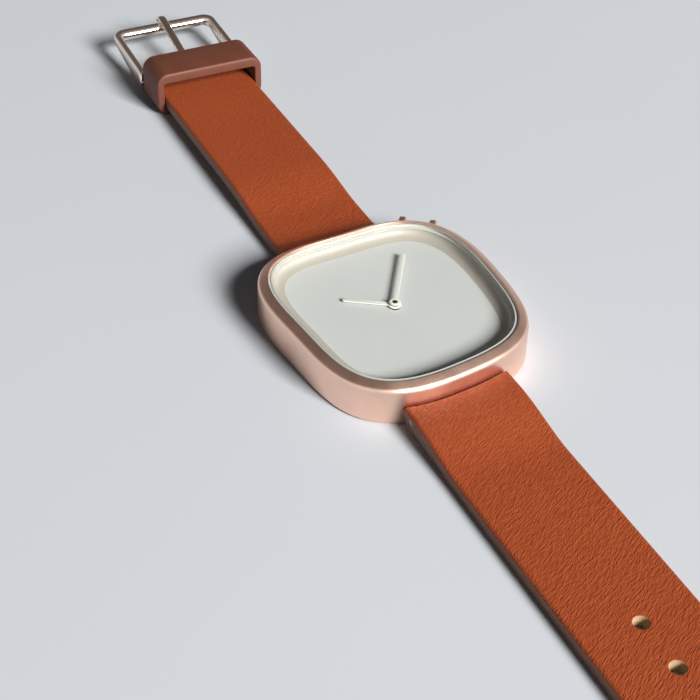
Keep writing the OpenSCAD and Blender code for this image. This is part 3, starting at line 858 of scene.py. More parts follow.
@dataclass
class CaseOutline:
    """The rounded square, leaning like a pebble, that the case and its glass follow."""

    half_w: float = 18.4
    half_l: float = 20.3
    power: float = 3.2
    twist: float = 3.8
    lean: float = 0.025
    side_lean: float = 0.009
    skew: float = 0.016
    end_steps: int = 80

    def radius_at(self, degree: float) -> float:
        """Reach of the outline in a direction.

        Args:
            degree: The direction, in degrees.

        Returns:
            Distance from the middle.
        """
        u = radians(degree - self.twist)
        t = radians(degree)
        shape = ((abs(cos(u)) / self.half_w) ** self.power
                 + (abs(sin(u)) / self.half_l) ** self.power)
        return shape ** (-1 / self.power) * (
            1 + self.lean * sin(3 * t) + self.side_lean * cos(3 * t) + self.skew * sin(2 * t))

    def point(self, degree: float) -> Vector:
        """Point of the outline at an angle in degrees."""
        t = radians(degree)
        return self.radius_at(degree) * Vector((cos(t), sin(t)))

    def grown(self, degree: float, grow: float) -> Flat:
        """Point of the outline, moved out square to it.

        Args:
            degree: The point's angle, in degrees.
            grow: Distance out.

        Returns:
            The moved point.
        """
        d = self.point(degree + 1) - self.point(degree - 1)
        p = self.point(degree) + grow * Vector((d.y, -d.x)).normalized()
        return p.x, p.y

    def loop(self, grow: float, height: float, steps: int) -> List[Point]:
        """Closed loop of a number of steps, moved out by a distance, at a height."""
        return [(*self.grown(360 * i / steps, grow), height) for i in range(steps)]

    def reach_beside(self, end: End, x: float, gap: float) -> float:
        """Distance from the middle to the outline at one end of the case.

        Args:
            end: Which end.
            x: Place across it.
            gap: Distance out from the outline.

        Returns:
            The distance along Y.
        """
        low = 60 if end is End.TWELVE else 240
        rim = sorted(self.grown(low + 60 * k / self.end_steps, gap)
                     for k in range(self.end_steps + 1))
        for (xa, ya), (xb, yb) in zip(rim, rim[1:]):
            if xa <= x <= xb:
                return end.value * (ya + (yb - ya) * (x - xa) / (xb - xa))
        return end.value * (rim[0][1] if x < rim[0][0] else rim[-1][1])


@dataclass
class Head:
    """The case, its glass, gasket and flange.

    A size whose name ends in _in is a distance in from the outline.
    """

    outline: CaseOutline
    height: float = 6.9
    shoulder: float = 6.1
    bezel_in: float = 1.65
    land: float = 0.15
    seat: float = 5.72
    opening_in: float = 2.35
    foot_in: float = 0.35
    movement_in: float = 4.5
    back_in: float = 2.6
    back_ledge: float = 0.92
    dial_bottom: float = 4.1
    dial_top: float = 4.5
    flange_out_in: float = 2.40
    flange_in: float = 2.52
    flange_top: float = 5.7
    flange_reach: float = 1.7
    flange_rise: float = 1.14
    flange_toe: float = 0.015
    flange_lip: float = 0.06
    flange_steps: int = 24
    crystal_bottom: float = 5.9
    crystal_in: float = 1.85
    ground_low: float = 0.3
    facet_in: float = 2.18
    facet_low: float = 0.13
    face_in: float = 2.5
    gasket_in: float = 1.67
    gasket_wall_in: float = 1.83
    gasket_lip_in: float = 2.47
    gasket_top: float = 6.35
    gasket_lip: float = 5.88
    bar_12: float = 21.9914
    bar_6: float = 23.0207
    bar_z: float = 2.0
    lug_r: float = 0.98
    lug_w: float = 9.0
    lug_gap: float = 1.88
    lug_root: float = 1.2
    lug_step: float = 0.3
    lug_edge: float = 0.15
    crown_angle: float = 54
    crown_z: float = 3.0
    tube_r: float = 0.82
    tube_from: float = 12
    tube_run: float = 14
    guard_w: float = 1.3
    guard_at: float = 2.55
    guard_reach: float = 2.0
    guard_root: float = 1.0
    guard_low: float = 1.0
    guard_drop: float = 0.4
    guard_edge: float = 0.42
    nose_r: float = 0.9

    def skin(self, profile: Sequence[Flat], ring: bool = True, steps: int = 288) -> BMesh:
        """Carry a profile of growth and height round the outline.

        Args:
            profile: Growth and height of each loop.
            ring: True for a ring, False for a capped solid.
            steps: Points round the outline.

        Returns:
            The mesh.
        """
        return lofted([self.outline.loop(grow, z, steps) for grow, z in profile], ring)

    def lug(self, end: End) -> BMesh:
        """Hidden lug in the middle of one end, rounded about its strap bar.

        Args:
            end: Which end.

        Returns:
            The lug's mesh.
        """
        bar = self.bar_12 if end is End.TWELVE else self.bar_6
        wall, step = bar - self.lug_gap, self.bar_z + self.lug_step
        side = [(wall - self.lug_root, self.bar_z - self.lug_r),
                *arc((bar, self.bar_z), self.lug_r, range(-90, 91, 10)),
                (wall + self.lug_step, step), (wall - self.lug_root, step)]
        bm = lofted([[(x, end.value * y, z) for y, z in side]
                     for x in (-self.lug_w / 2, self.lug_w / 2)])
        soften_rims(bm, square_to(0), self.lug_edge)
        return bm

    def guard(self, side: int) -> BMesh:
        """Fin beside the crown, rounded all over.

        Args:
            side: 1 or -1, the side of the crown's axis.

        Returns:
            The fin's mesh.
        """
        low, high = self.guard_low, self.shoulder - self.guard_drop
        nose = self.guard_reach - self.nose_r
        outline = [(-self.guard_root, low),
                   *arc((nose, low + self.nose_r), self.nose_r, range(-90, 1, 10)),
                   *arc((nose, high - self.nose_r), self.nose_r, range(0, 91, 10)),
                   (-self.guard_root, high)]
        reach = self.outline.radius_at(self.crown_angle)
        across = side * self.guard_at
        bm = lofted([[(reach + d, across + half, z) for d, z in outline]
                     for half in (-self.guard_w / 2, self.guard_w / 2)])
        soften_rims(bm, square_to(1), self.guard_edge, segments=5)
        turn = Matrix.Rotation(radians(self.crown_angle), 3, "Z")
        bmesh.ops.rotate(bm, cent=(0, 0, 0), matrix=turn, verts=bm.verts[:])
        return bm

    def build_case(self, finish: Material) -> None:
        """Case shell with its sloped bezel, crown hole, crown guards and lugs.

        Args:
            finish: Its metal.
        """
        b, room, mouth = self.bezel_in, -self.movement_in, -self.opening_in
        profile = rounded([
            (-self.foot_in, 0, 0.12), (0, self.foot_in, 0.4), (0, self.shoulder, 0.95),
            (self.land - b, self.height, 0.1), (-b, self.height, 0.05), (-b, self.seat, 0),
            (mouth, self.seat, 0.04), (mouth, self.dial_bottom, 0), (room, self.dial_bottom, 0),
            (room, self.back_ledge, 0), (-self.back_in, self.back_ledge, 0),
            (-self.back_in, 0, 0.06)], steps=6)
        turn = radians(self.crown_angle)
        axis = (cos(turn), sin(turn), 0)
        start = (self.tube_from * axis[0], self.tube_from * axis[1], self.crown_z)
        shell = cut_away(self.skin(profile, steps=384),
                         [rod(start, axis, self.tube_r, self.tube_run)])
        shell = cut_away(shell, [self.lug(End.TWELVE), self.lug(End.SIX), self.guard(-1),
                                 self.guard(1)], join=True)
        dress(finish_mesh(shell, "case_shell", crease=40), "case", ["case_body"],
              [finish])

    def build_crystal(self, clear: Material, ground: Material, edge: Material) -> None:
        """Flat glass with a bevel round its top: a ground facet and a polished one inside it.

        Args:
            clear: Finish of the glass.
            ground: Finish of the outer facet.
            edge: Finish of the inner facet.
        """
        step = self.height - self.facet_low
        past = 0.05  # how far a flat runs on past its rounded corner
        steep, flat = 0.6, 0.995  # a facet's normal rises by more than one and less than the other
        corners = rounded([
            (-self.crystal_in, self.crystal_bottom, 0.04),
            (-self.crystal_in, self.height - self.ground_low, 0.05),
            (-self.facet_in, step, 0.03), (-self.face_in, self.height, 0.04)],
            steps=3, closed=False)
        bm = self.skin([(-self.crystal_in - past, self.crystal_bottom), *corners,
                        (-self.face_in - past, self.height)], ring=False)
        bmesh.ops.recalc_face_normals(bm, faces=bm.faces[:])
        for face in bm.faces:
            if steep < face.normal.z < flat:
                face.material_index = 1 if face.calc_center_median().z < step else 2
        dress(finish_mesh(bm, "crystal_glass", crease=12), "case", ["crystal"],
              [clear, ground, edge])

    def build_gasket(self, finish: Material) -> None:
        """Gasket with a wall beside the glass and a lip under it.

        Args:
            finish: Its moulding.
        """
        out, wall, lip = -self.gasket_in, -self.gasket_wall_in, -self.gasket_lip_in
        profile = rounded([
            (out, self.seat, 0.03), (out, self.gasket_top, 0.05), (wall, self.gasket_top, 0.05),
            (wall, self.gasket_lip, 0), (lip, self.gasket_lip, 0.03), (lip, self.seat, 0.03)],
            steps=3)
        dress(finish_mesh(self.skin(profile), "glass_gasket"), "case",
              ["crystal_gasket"], [finish])

    def build_flange(self, finish: Material) -> None:
        """Dished wall from the glass down to the dial, thin where it meets the dial.

        Args:
            finish: Its lacquer.
        """
        profile = [(-self.flange_out_in, self.dial_top), (-self.flange_out_in, self.flange_top),
                   (-self.flange_in, self.flange_top)]
        steps = self.flange_steps
        for k in range(1, steps + 1):
            t = radians(90 - 90 * k / steps)
            lift = self.flange_lip * ease((steps - k) / 6) + self.flange_toe
            profile.append((-self.flange_in - self.flange_reach * (1 - sin(t)),
                            self.dial_top + lift + self.flange_rise * (1 - cos(t)) * 0.995))
        profile.append((-self.flange_in - self.flange_reach, self.dial_top))
        dress(finish_mesh(self.skin(profile), "dished_flange", crease=30), "case",
              ["flange_ring"], [finish])


@dataclass
class Hand:
    """A baton hand with a ring at its middle."""

    name: str
    node: str
    body: str
    length: float
    degree: float
    level: float
    hole_r: float
    hub_r: float
    width: float = 0.78
    thick: float = 0.16
    rim: float = 0.05

    def build(self, finish: Material) -> None:
        """Extrude the plan, pierce it and soften its upper rim.

        Args:
            finish: Its lacquer.
        """
        half, top = self.width / 2, self.level + self.thick
        meet = degrees(asin(half / self.hub_r))
        plan = arc((0, 0), self.hub_r, [meet + (360 - 2 * meet) * k / 60 for k in range(61)])
        plan += arc((self.length - half, 0), half, range(-90, 91, 12))
        turn = Matrix.Rotation(radians(self.degree), 2)
        plan = [tuple(turn @ Vector(p)) for p in plan]
        bm = cut_away(lofted([[(x, y, z) for x, y in plan] for z in (self.level, top)]),
                      [rod((0, 0, self.level - CLEAR), (0, 0, 1), self.hole_r, length=3,
                           segments=40)])
        soften_rims(bm, lambda e: all(abs(v.co.z - top) < 1e-4 for v in e.verts)
                    and any(abs(f.normal.z) < 0.3 for f in e.link_faces), self.rim)
        dress(finish_mesh(bm, self.name, crease=30), self.body, [self.node],
              [finish])


@dataclass
class Crown:
    """Fluted crown over its tube."""

    outline: CaseOutline
    radius: float = 1.6
    length: float = 1.65
    gap: float = 0.3
    flutes: int = 24
    flute_r: float = 0.13
    flute_steps: int = 12
    hub_r: float = 1.12
    cap: float = 0.7
    degree: float = 54
    level: float = 3.0

    def loop(self, along: float, inset: float, fluted: float) -> List[Point]:
        """One loop round the crown's axis.

        Args:
            along: Distance from the crown's inner face.
            inset: Distance in from its radius.
            fluted: Depth of the flutes, from 0 to 1.

        Returns:
            The loop's points.
        """
        start = self.outline.radius_at(self.degree) + self.gap
        turn = radians(self.degree)
        out = Vector((cos(turn), sin(turn), 0))
        side = Vector((-sin(turn), cos(turn), 0))
        count = self.flutes * self.flute_steps
        points = []
        for k in range(count):
            a = 360 * k / count
            near = (a * self.flutes / 360 + 0.5) % 1 - 0.5
            across = near * 2 * pi * self.radius / self.flutes
            dip = sqrt(max(self.flute_r ** 2 - across ** 2, 0)) * fluted
            r = self.radius - inset - dip
            up = Vector((0, 0, r * sin(radians(a))))
            spot = out * (start + along) + side * r * cos(radians(a)) + up
            points.append((spot.x, spot.y, spot.z + self.level))
        return points

    def build(self, finish: Material) -> None:
        """Fluted barrel with softened rims, hollow round its tube.

        Args:
            finish: Its metal.
        """
        hub, end = self.radius - self.hub_r, self.length
        rows = [(end - self.cap, hub, 0), (0, hub, 0), (0, 0.16, 0), (0.04, 0.06, 0.5),
                (0.12, 0.0, 1), (end - 0.24, 0.0, 1), (end - 0.14, 0.04, 1),
                (end - 0.05, 0.13, 0.6), (end, 0.28, 0.0), (end, 0.5, 0.0)]
        bm = lofted([self.loop(*row) for row in rows])
        dress(finish_mesh(bm, "fluted_crown", crease=40), "crown", ["crown"],
              [finish])


@dataclass
class StrapPiece:
    """One piece of the strap: a sweep with rounded shoulders, painted edges and a lining."""

    outline: CaseOutline
    end: End
    bar: float
    width: float = 18.0
    thick: float = 2.1
    fold_t: float = 0.6
    fold_l: float = 7.0
    bar_z: float = 2.0
    bore_r: float = 0.58
    loop_r: float = 1.58
    end_gap: float = 0.3
    end_round: float = 0.3
    shoulder: float = 0.62
    shoulder_drop: float = 0.5
    under_round: float = 0.25
    under_lift: float = 0.2
    top_z: float = 3.58
    pocket_w: float = 9.3
    pocket_top: float = 3.08
    pocket_in: float = 10
    pocket_out: float = 1.13
    insets: Sequence[float] = (0, 0.03, 0.1, 0.2, 0.32, 0.46, 0.62, 1.0, 1.8, 3.2, 5.0, 7.0)
    end_insets: Sequence[float] = (0, 0.02, 0.06, 0.12, 0.2, 0.3, 0.5)
    wall_shares: Sequence[float] = (0.25, 0.5, 0.75)
    most_drop: float = 0.45
    most_lift: float = 0.3
    end_pitch: float = 0.06
    fine_pitch: float = 0.9
    coarse_pitch: float = 2.0
    finishes: List[Material] = field(default_factory=list)

    def flat_top(self, s: float) -> float:
        """Height of the upper face at a distance along the strap."""
        raise NotImplementedError

    def top(self, s: float) -> float:
        """Height of the upper face, with what else swells it."""
        return self.flat_top(s)

    def bottom(self, s: float) -> float:
        """Height of the under face: the loop round the bar, then the folded layers.

        Args:
            s: Distance along the strap.

        Returns:
            The height.
        """
        layers = self.thick + (self.fold_t if s < self.bar + self.fold_l else 0)
        curl = self.bar_z - sqrt(max(self.loop_r ** 2 - (s - self.bar) ** 2, 0))
        return curl if s < self.bar else min(curl, max(self.flat_top(s) - layers, 0))

    def half_width(self, s: float) -> float:
        """Half of the strap's width at a distance along it."""
        return self.width / 2

    def depth_in(self, x: float, s: float) -> float:
        """Distance in from the strap's sides."""
        return self.width / 2 - abs(x)

    def marks(self) -> List[float]:
        """Distances along the strap at which it has a section."""
        raise NotImplementedError

    def bar_marks(self, fine: int, coarse_from: float, stop: float) -> List[float]:
        """Distances close together round the bar and next to it, then further apart.

        Args:
            fine: How many close ones follow the loop round the bar.
            coarse_from: Distance from the bar after which the others come.
            stop: Distance along the strap at which they end.

        Returns:
            The distances.
        """
        fold = self.bar + self.fold_l
        found = [self.bar - self.loop_r * cos(radians(a)) for a in range(0, 181, 20)]
        found += [self.bar + self.loop_r + self.fine_pitch * k for k in range(1, fine + 1)]
        coarse = [self.bar + coarse_from + self.coarse_pitch * k for k in range(1, 200)]
        return found + [s for s in coarse if s < stop] + [fold - 0.01, fold + 0.01]

    def section(self, s: float, start_in: float) -> List[Point]:
        """Closed section across the strap.

        Args:
            s: Distance along the strap.
            start_in: Least distance in from the end at the case.

        Returns:
            The section's points, upper face first.
        """
        w = self.half_width(s)
        shrink = w / (self.width / 2)
        left = [-w + d * shrink for d in self.insets]
        right = [w - d * shrink for d in reversed(self.insets)]
        upper, lower = [], []
        for x in left + [0.0] + right:
            edge_s = self.outline.reach_beside(self.end, x, self.end_gap)
            here = max(s, edge_s + start_in)
            depth = self.depth_in(x, here)
            rounding = hypot(nearness(depth, self.shoulder),
                             nearness(here - edge_s, self.end_round))
            high, low = self.top(here), self.bottom(here)
            drop = min(self.shoulder_drop, self.most_drop * (high - low)) * quarter_round(rounding)
            lift = min(self.under_lift, self.most_lift * (high - low)) * quarter_round(
                nearness(depth, self.under_round))
            upper.append((x, here, high - drop))
            lower.append((x, here, low + lift))
        walls = [[(x, here, high + (low - high) * share) for share in self.wall_shares]
                 for (x, here, high), (_, _, low) in ((upper[-1], lower[-1]), (upper[0], lower[0]))]
        return upper + walls[0] + lower[::-1] + walls[1][::-1]

    def sweep(self) -> BMesh:
        """Skin the sections and mark each face's zone.

        Returns:
            The mesh, with its zones as finish indices.
        """
        bm = bmesh.new()
        lanes = bm.verts.layers.int.new("lane")
        stations = [(0.0, d) for d in self.end_insets]
        stations += [(s, self.end_insets[-1] + self.end_pitch * (k + 1))
                     for k, s in enumerate(self.marks())]
        made = loft(bm, [[(x, self.end.value * s, z) for x, s, z in self.section(*station)]
                         for station in stations])
        columns = 2 * len(self.insets) + 1
        under = columns + len(self.wall_shares)
        last = under + columns - 1
        for row in (made[0], made[-1]):
            for k in range(1, columns - 1):
                a, b = row[k], row[last - k]
                shared = [f for f in a.link_faces if f in set(b.link_faces) and len(f.verts) > 4]
                if shared:
                    bmesh.utils.face_split(shared[0], a, b)
        for row in made:
            for k, vert in enumerate(row):
                vert[lanes] = k
        for f in bm.faces:
            low = sorted(v[lanes] for v in f.verts)
            k = low[-1] if low[-1] - low[0] > 2 * columns else low[0]
            zone = Zone.EDGE
            if k < columns - 1:
                zone = Zone.GRAIN
            elif under <= k < last:
                zone = Zone.LINING
            f.material_index = zone.value
        for row in (made[0], made[-1]):
            for f in {f for v in row for f in v.link_faces}:
                if all(v in set(row) for v in f.verts):
                    f.material_index = Zone.EDGE.value
        return bm

    def cut(self, bm: BMesh, cutters: Sequence[BMesh]) -> BMesh:
        """Make room for the lug and the strap bar, and take out what else is asked.

        Args:
            bm: The swept piece, which is freed.
            cutters: What is cut besides.

        Returns:
            The cut piece.
        """
        sign, half = self.end.value, self.pocket_w / 2
        near, far = sorted((sign * (self.bar - self.pocket_in),
                            sign * (self.bar + self.pocket_out)))
        pocket = block((-half, near, -CLEAR), (half, far, self.pocket_top), Zone.RAW)
        return cut_away(bm, [pocket, self.bore(sign * self.bar, self.bar_z, self.bore_r), *cutters])

    def bore(self, y: float, z: float, radius: float) -> BMesh:
        """Bore across the strap, round a bar or a pin."""
        return rod((-self.width, y, z), (1, 0, 0), radius, 2 * self.width, zone=Zone.RAW)


@dataclass
class HoleSide(StrapPiece):
    """The 6 o'clock piece: holes and a round tip."""

    reach: float = 128.0
    run: float = 14.0
    run_from: float = 0.5
    hole_start: float = 69.0
    hole_pitch: float = 8.0
    hole_count: int = 7
    hole_r: float = 1.12
    hole_rim: float = 0.12

    def flat_top(self, s: float) -> float:
        """Slopes from the bar down to the strap's own thickness."""
        slope = ease((s - self.bar - self.run_from) / self.run)
        return self.thick + (self.top_z - self.thick) * (1 - slope)

    def past_tip(self, s: float) -> float:
        """Distance past the place where the round tip starts."""
        return s - (self.reach - self.width / 2)

    def half_width(self, s: float) -> float:
        """Full width up to the round tip."""
        r, past = self.width / 2, self.past_tip(s)
        return r if past <= 0 else sqrt(max(r * r - past * past, 0))

    def depth_in(self, x: float, s: float) -> float:
        """Distance in from the sides or from the round tip."""
        past = self.past_tip(s)
        return self.width / 2 - (abs(x) if past <= 0 else hypot(x, past))

    def marks(self) -> List[float]:
        """Sections close together round the bar, the slope and the tip.

        Returns:
            Their distances along the strap.
        """
        r = self.width / 2
        angles = [*range(0, 60, 5), *range(60, 89, 3)]
        tip = [self.reach - r + r * sin(radians(a)) for a in angles]
        return sorted(set(self.bar_marks(16, 16, self.reach - r) + tip))

    def build(self) -> None:
        """Sweep, pierce the holes and soften their rims."""
        holes = [rod((0, -(self.hole_start + i * self.hole_pitch), -CLEAR), (0, 0, 1), self.hole_r,
                     length=8, segments=56, zone=Zone.RAW) for i in range(self.hole_count)]
        bm = self.cut(self.sweep(), holes)
        start = -(self.hole_start - 3)  # Y of a place between the bar and the first hole

        def on_rim(edge: Edge) -> bool:
            """Tell whether an edge lies between a hole's wall and another face."""
            zones = {face.material_index for face in edge.link_faces}
            return edge.verts[0].co.y < start and len(zones) == 2 and Zone.RAW.value in zones

        soften_rims(bm, on_rim, self.hole_rim, segments=3)
        dress(finish_mesh(bm, "strap_with_holes", crease=42), "hole_strap",
              ["strap_hole_side"], self.finishes)


@dataclass
class BuckleSide(StrapPiece):
    """The 12 o'clock piece: rises to the keeper's floor and loops round the buckle's pin."""

    pin_reach: float = 89.0
    pin_z: float = 2.5
    pin_loop_r: float = 1.65
    pin_bore_r: float = 0.73
    swell: float = 0.02
    lift: float = 1.45
    lift_from: float = 5.0
    lift_run: float = 20.0
    drop_run: float = 5.0
    slot_w: float = 2.4
    slot_from: float = 86.1
    slot_run: float = 5
    slot_top: float = 9
    slot_corner: float = 0.5

    def flat_top(self, s: float) -> float:
        """Height of the upper face before the loop at the pin."""
        return (self.thick + (self.top_z - self.thick) * (1 - ease((s - self.bar) / self.drop_run))
                + self.lift * ease((s - self.bar - self.lift_from) / self.lift_run))

    def loop_half(self, s: float) -> float:
        """Half height of the loop at the pin."""
        return sqrt(max(self.pin_loop_r ** 2 - (s - self.pin_reach) ** 2, 0.0001))

    def top(self, s: float) -> float:
        """Upper face, swelling smoothly into the loop.

        Args:
            s: Distance along the strap.

        Returns:
            Its height.
        """
        flat, loop = self.flat_top(s), self.pin_z + self.loop_half(s)
        if s > self.pin_reach:
            return loop
        return (flat + loop + sqrt((flat - loop) ** 2 + self.swell)) / 2

    def bottom(self, s: float) -> float:
        """Under face, swelling into the loop."""
        loop = self.pin_z - self.loop_half(s)
        return loop if s > self.pin_reach else min(super().bottom(s), loop)

    def marks(self) -> List[float]:
        """Sections close together round the bar, the rise and the pin.

        Returns:
            Their distances along the strap.
        """
        pin = [self.pin_reach - d for d in (2.6, 2.2, 1.9)]
        pin += [self.pin_reach - self.pin_loop_r * cos(radians(a)) for a in range(0, 181, 10)]
        return sorted(set(self.bar_marks(27, 26.8, self.pin_reach - 3) + pin))

    def build(self) -> None:
        """Sweep, then cut the slot and the bore of the pin."""
        half = self.slot_w / 2
        slot = block((-half, self.slot_from, -CLEAR),
                     (half, self.pin_reach + self.slot_run, self.slot_top), Zone.EDGE,
                     self.slot_corner)
        bm = self.cut(self.sweep(), [slot, self.bore(self.pin_reach, self.pin_z, self.pin_bore_r)])
        dress(finish_mesh(bm, "strap_with_buckle", crease=42), "buckle_strap",
              ["strap_buckle_side"], self.finishes)


@dataclass
class Keeper:
    """The moulded loop that holds the strap's end down."""

    near: float = 77.4
    far: float = 85.8
    outer_w: float = 21.0
    outer_h: float = 8.4
    corner: float = 2.3
    inner_w: float = 18.3
    inner_h: float = 5.1
    inner_corner: float = 0.5
    floor: float = 1.3
    edge: float = 0.4

    def path(self, w: float, h: float, r: float, low: float) -> List[Flat]:
        """Rounded rectangle standing on a height.

        Args:
            w: Width.
            h: Height.
            r: Corner radius.
            low: Height of its lowest side.

        Returns:
            Points with the same count for every size.
        """
        points = []
        for cx, cy, start in ((w / 2 - r, low + h - r, 0), (r - w / 2, low + h - r, 90),
                              (r - w / 2, low + r, 180), (w / 2 - r, low + r, 270)):
            points += arc((cx, cy), r, range(start, start + 91, 9))
        return points

    def build(self, finish: Material) -> None:
        """Skin rounded rectangles from the inside round to the outside and back.

        Args:
            finish: Its moulding.
        """
        outer = self.path(self.outer_w, self.outer_h, self.corner, 0)
        inner = self.path(self.inner_w, self.inner_h, self.inner_corner, self.floor)
        wall, round_in = self.floor, self.edge * 0.6
        lane = rounded([(0, self.near, round_in), (0, self.far, round_in),
                        (wall, self.far, self.edge), (wall, self.near, self.edge)])
        rows = []
        for out, y in lane:
            f = out / wall
            rows.append([(a + (c - a) * f, y, b + (d - b) * f)
                         for (a, b), (c, d) in zip(inner, outer)])
        dress(finish_mesh(lofted(rows, ring=True), "moulded_keeper", crease=50), "keeper",
              ["keeper"], [finish])


@dataclass(frozen=True)
class Station:
    """One section of the buckle's frame: its two plan ends, its height and its squareness."""

    inner: Flat
    outer: Flat
    z: float
    half: float
    power: float
    turned: float = 0.0

    def mirrored(self) -> "Station":
        """The same section on the other side."""
        return replace(self, inner=(-self.inner[0], self.inner[1]),
                       outer=(-self.outer[0], self.outer[1]))

    def ring(self) -> List[Point]:
        """Closed loop round the section."""
        (ax, ay), (bx, by) = self.inner, self.outer
        return [((ax + bx) / 2 + (bx - ax) / 2 * c, (ay + by) / 2 + (by - ay) / 2 * c,
                 self.z + self.half * s) for c, s in squared(self.power, 48, self.turned)]


@dataclass
class Buckle:
    """Frame and tongue on one pin."""

    pin_reach: float = 89.0
    pin_z: float = 2.5
    bar_end: float = 103.4
    bar_z: float = 4.4
    arm_r: float = 2.1
    arm_swell: float = 0.01
    arm_square: float = 3.4
    bend_square: float = 2.4
    bar_square: float = 2.5
    bar_r: float = 1.1
    bar_turn: float = 45.0
    outer_x: float = 10.65
    inner_x: float = 9.15
    corner: float = 2.6
    inner_corner: float = 1.0
    tongue_w: float = 1.6
    tongue_t: float = 1.0
    tongue_square: float = 2.4
    tongue_gap: float = 0.2
    tongue_tip: float = 35
    eye_in: float = 0.73
    eye_half: float = 0.25

    def taper(self, part: float) -> Flat:
        """Middle height and half height of a section at a share of the way to the bar."""
        return (self.pin_z + (self.bar_z - self.pin_z) * part,
                self.arm_r + (self.bar_r - self.arm_r) * part)

    def stations(self) -> List[Station]:
        """Walk along one half of the frame: rounded foot, arm, corner and half of the bar.

        Returns:
            The sections in order.
        """
        found = []
        length = self.bar_end - self.pin_reach
        outer_y, inner_y = self.bar_end + self.bar_r, self.bar_end - self.bar_r
        for k in range(9):
            a = radians(4 + 86 * k / 8)
            y = self.pin_reach - self.arm_r * cos(a)
            found.append(Station((self.inner_x, y), (self.outer_x, y), self.pin_z,
                                 self.arm_r * sin(a), self.arm_square))
        for k in range(1, 13):
            t = k / 12
            y = self.pin_reach + t * (outer_y - self.corner - self.pin_reach)
            z, half = self.taper((y - self.pin_reach) / length)
            square = self.arm_square - (self.arm_square - self.bend_square) * ease(t)
            found.append(Station((self.inner_x, min(y, inner_y - self.inner_corner)),
                                 (self.outer_x, y), z, half + self.arm_swell, square))
        turns = [90 * k / 12 for k in range(1, 13)]
        outers = arc((self.outer_x - self.corner, outer_y - self.corner), self.corner, turns)
        inners = arc((self.inner_x - self.inner_corner, inner_y - self.inner_corner),
                     self.inner_corner, turns)
        for k, (inner, outer) in enumerate(zip(inners, outers), 1):
            part = min((0.5 * (outer[1] + inner[1]) - self.pin_reach) / length, 1)
            square = (self.bend_square - (self.bend_square - 2) * ease(k / 6)
                      + (self.bar_square - 2) * ease((k - 6) / 6))
            found.append(Station(inner, outer, *self.taper(part), square,
                                 self.bar_turn if k > 6 else 0))
        for k in range(1, 6):
            x = (self.outer_x - self.corner) * (1 - k / 5)
            found.append(Station((x, inner_y), (x, outer_y), self.bar_z, self.bar_r,
                                 self.bar_square, self.bar_turn))
        return found

    def build_frame(self, finish: Material) -> None:
        """Sweep a rounded section round the frame.

        Args:
            finish: Its metal.
        """
        half = self.stations()
        bm = lofted([s.ring() for s in half + [s.mirrored() for s in reversed(half[:-1])]])
        dress(finish_mesh(bm, "buckle_bow", crease=50), "buckle", ["buckle_frame"],
              [finish])

    def build_tongue(self, finish: Material) -> None:
        """Sweep a strip round the pin, along the frame and over its outer bar.

        Args:
            finish: Its metal.
        """
        full = self.tongue_t / 2
        angles = range(-30, -271, -10)
        eye = arc((self.pin_reach, self.pin_z), self.eye_in + self.eye_half, angles)
        spine = [(y, z, radians(a - 90), self.eye_half, 1) for (y, z), a in zip(eye, angles)]
        bend = self.bar_r + self.tongue_gap + full
        start = (self.pin_reach, self.pin_z + self.eye_in + 2 * self.eye_half - full)
        dy, dz = self.bar_end - start[0], self.bar_z - start[1]
        slope = atan2(dz, dy) + asin(bend / hypot(dy, dz))
        first = pi / 2 + slope
        touch = (self.bar_end + bend * cos(first), self.bar_z + bend * sin(first))
        for k in range(1, 13):
            t = k / 12
            spine.append((start[0] + (touch[0] - start[0]) * t,
                          start[1] + (touch[1] - start[1]) * t, slope,
                          self.eye_half + (full - self.eye_half) * ease(t * 8), 1))
        for k in range(1, 13):
            a = first + (radians(self.tongue_tip) - first) * k / 12
            spine.append((self.bar_end + bend * cos(a), self.bar_z + bend * sin(a), a - pi / 2,
                          full, 1))
        y, z, heading = spine[-1][:3]
        for ahead, size, share in ((0.08, 0.97, 0.98), (0.16, 0.85, 0.93), (0.22, 0.6, 0.85),
                                   (0.25, 0.3, 0.7)):
            spine.append((y + ahead * cos(heading), z + ahead * sin(heading), heading,
                          full * size, share))
        bm = lofted([[(self.tongue_w / 2 * share * c, y - half * s * sin(heading),
                       z + half * s * cos(heading)) for c, s in squared(self.tongue_square, 24)]
                     for y, z, heading, half, share in spine])
        dress(finish_mesh(bm, "buckle_prong", crease=50), "tongue",
              ["buckle_tongue"], [finish])


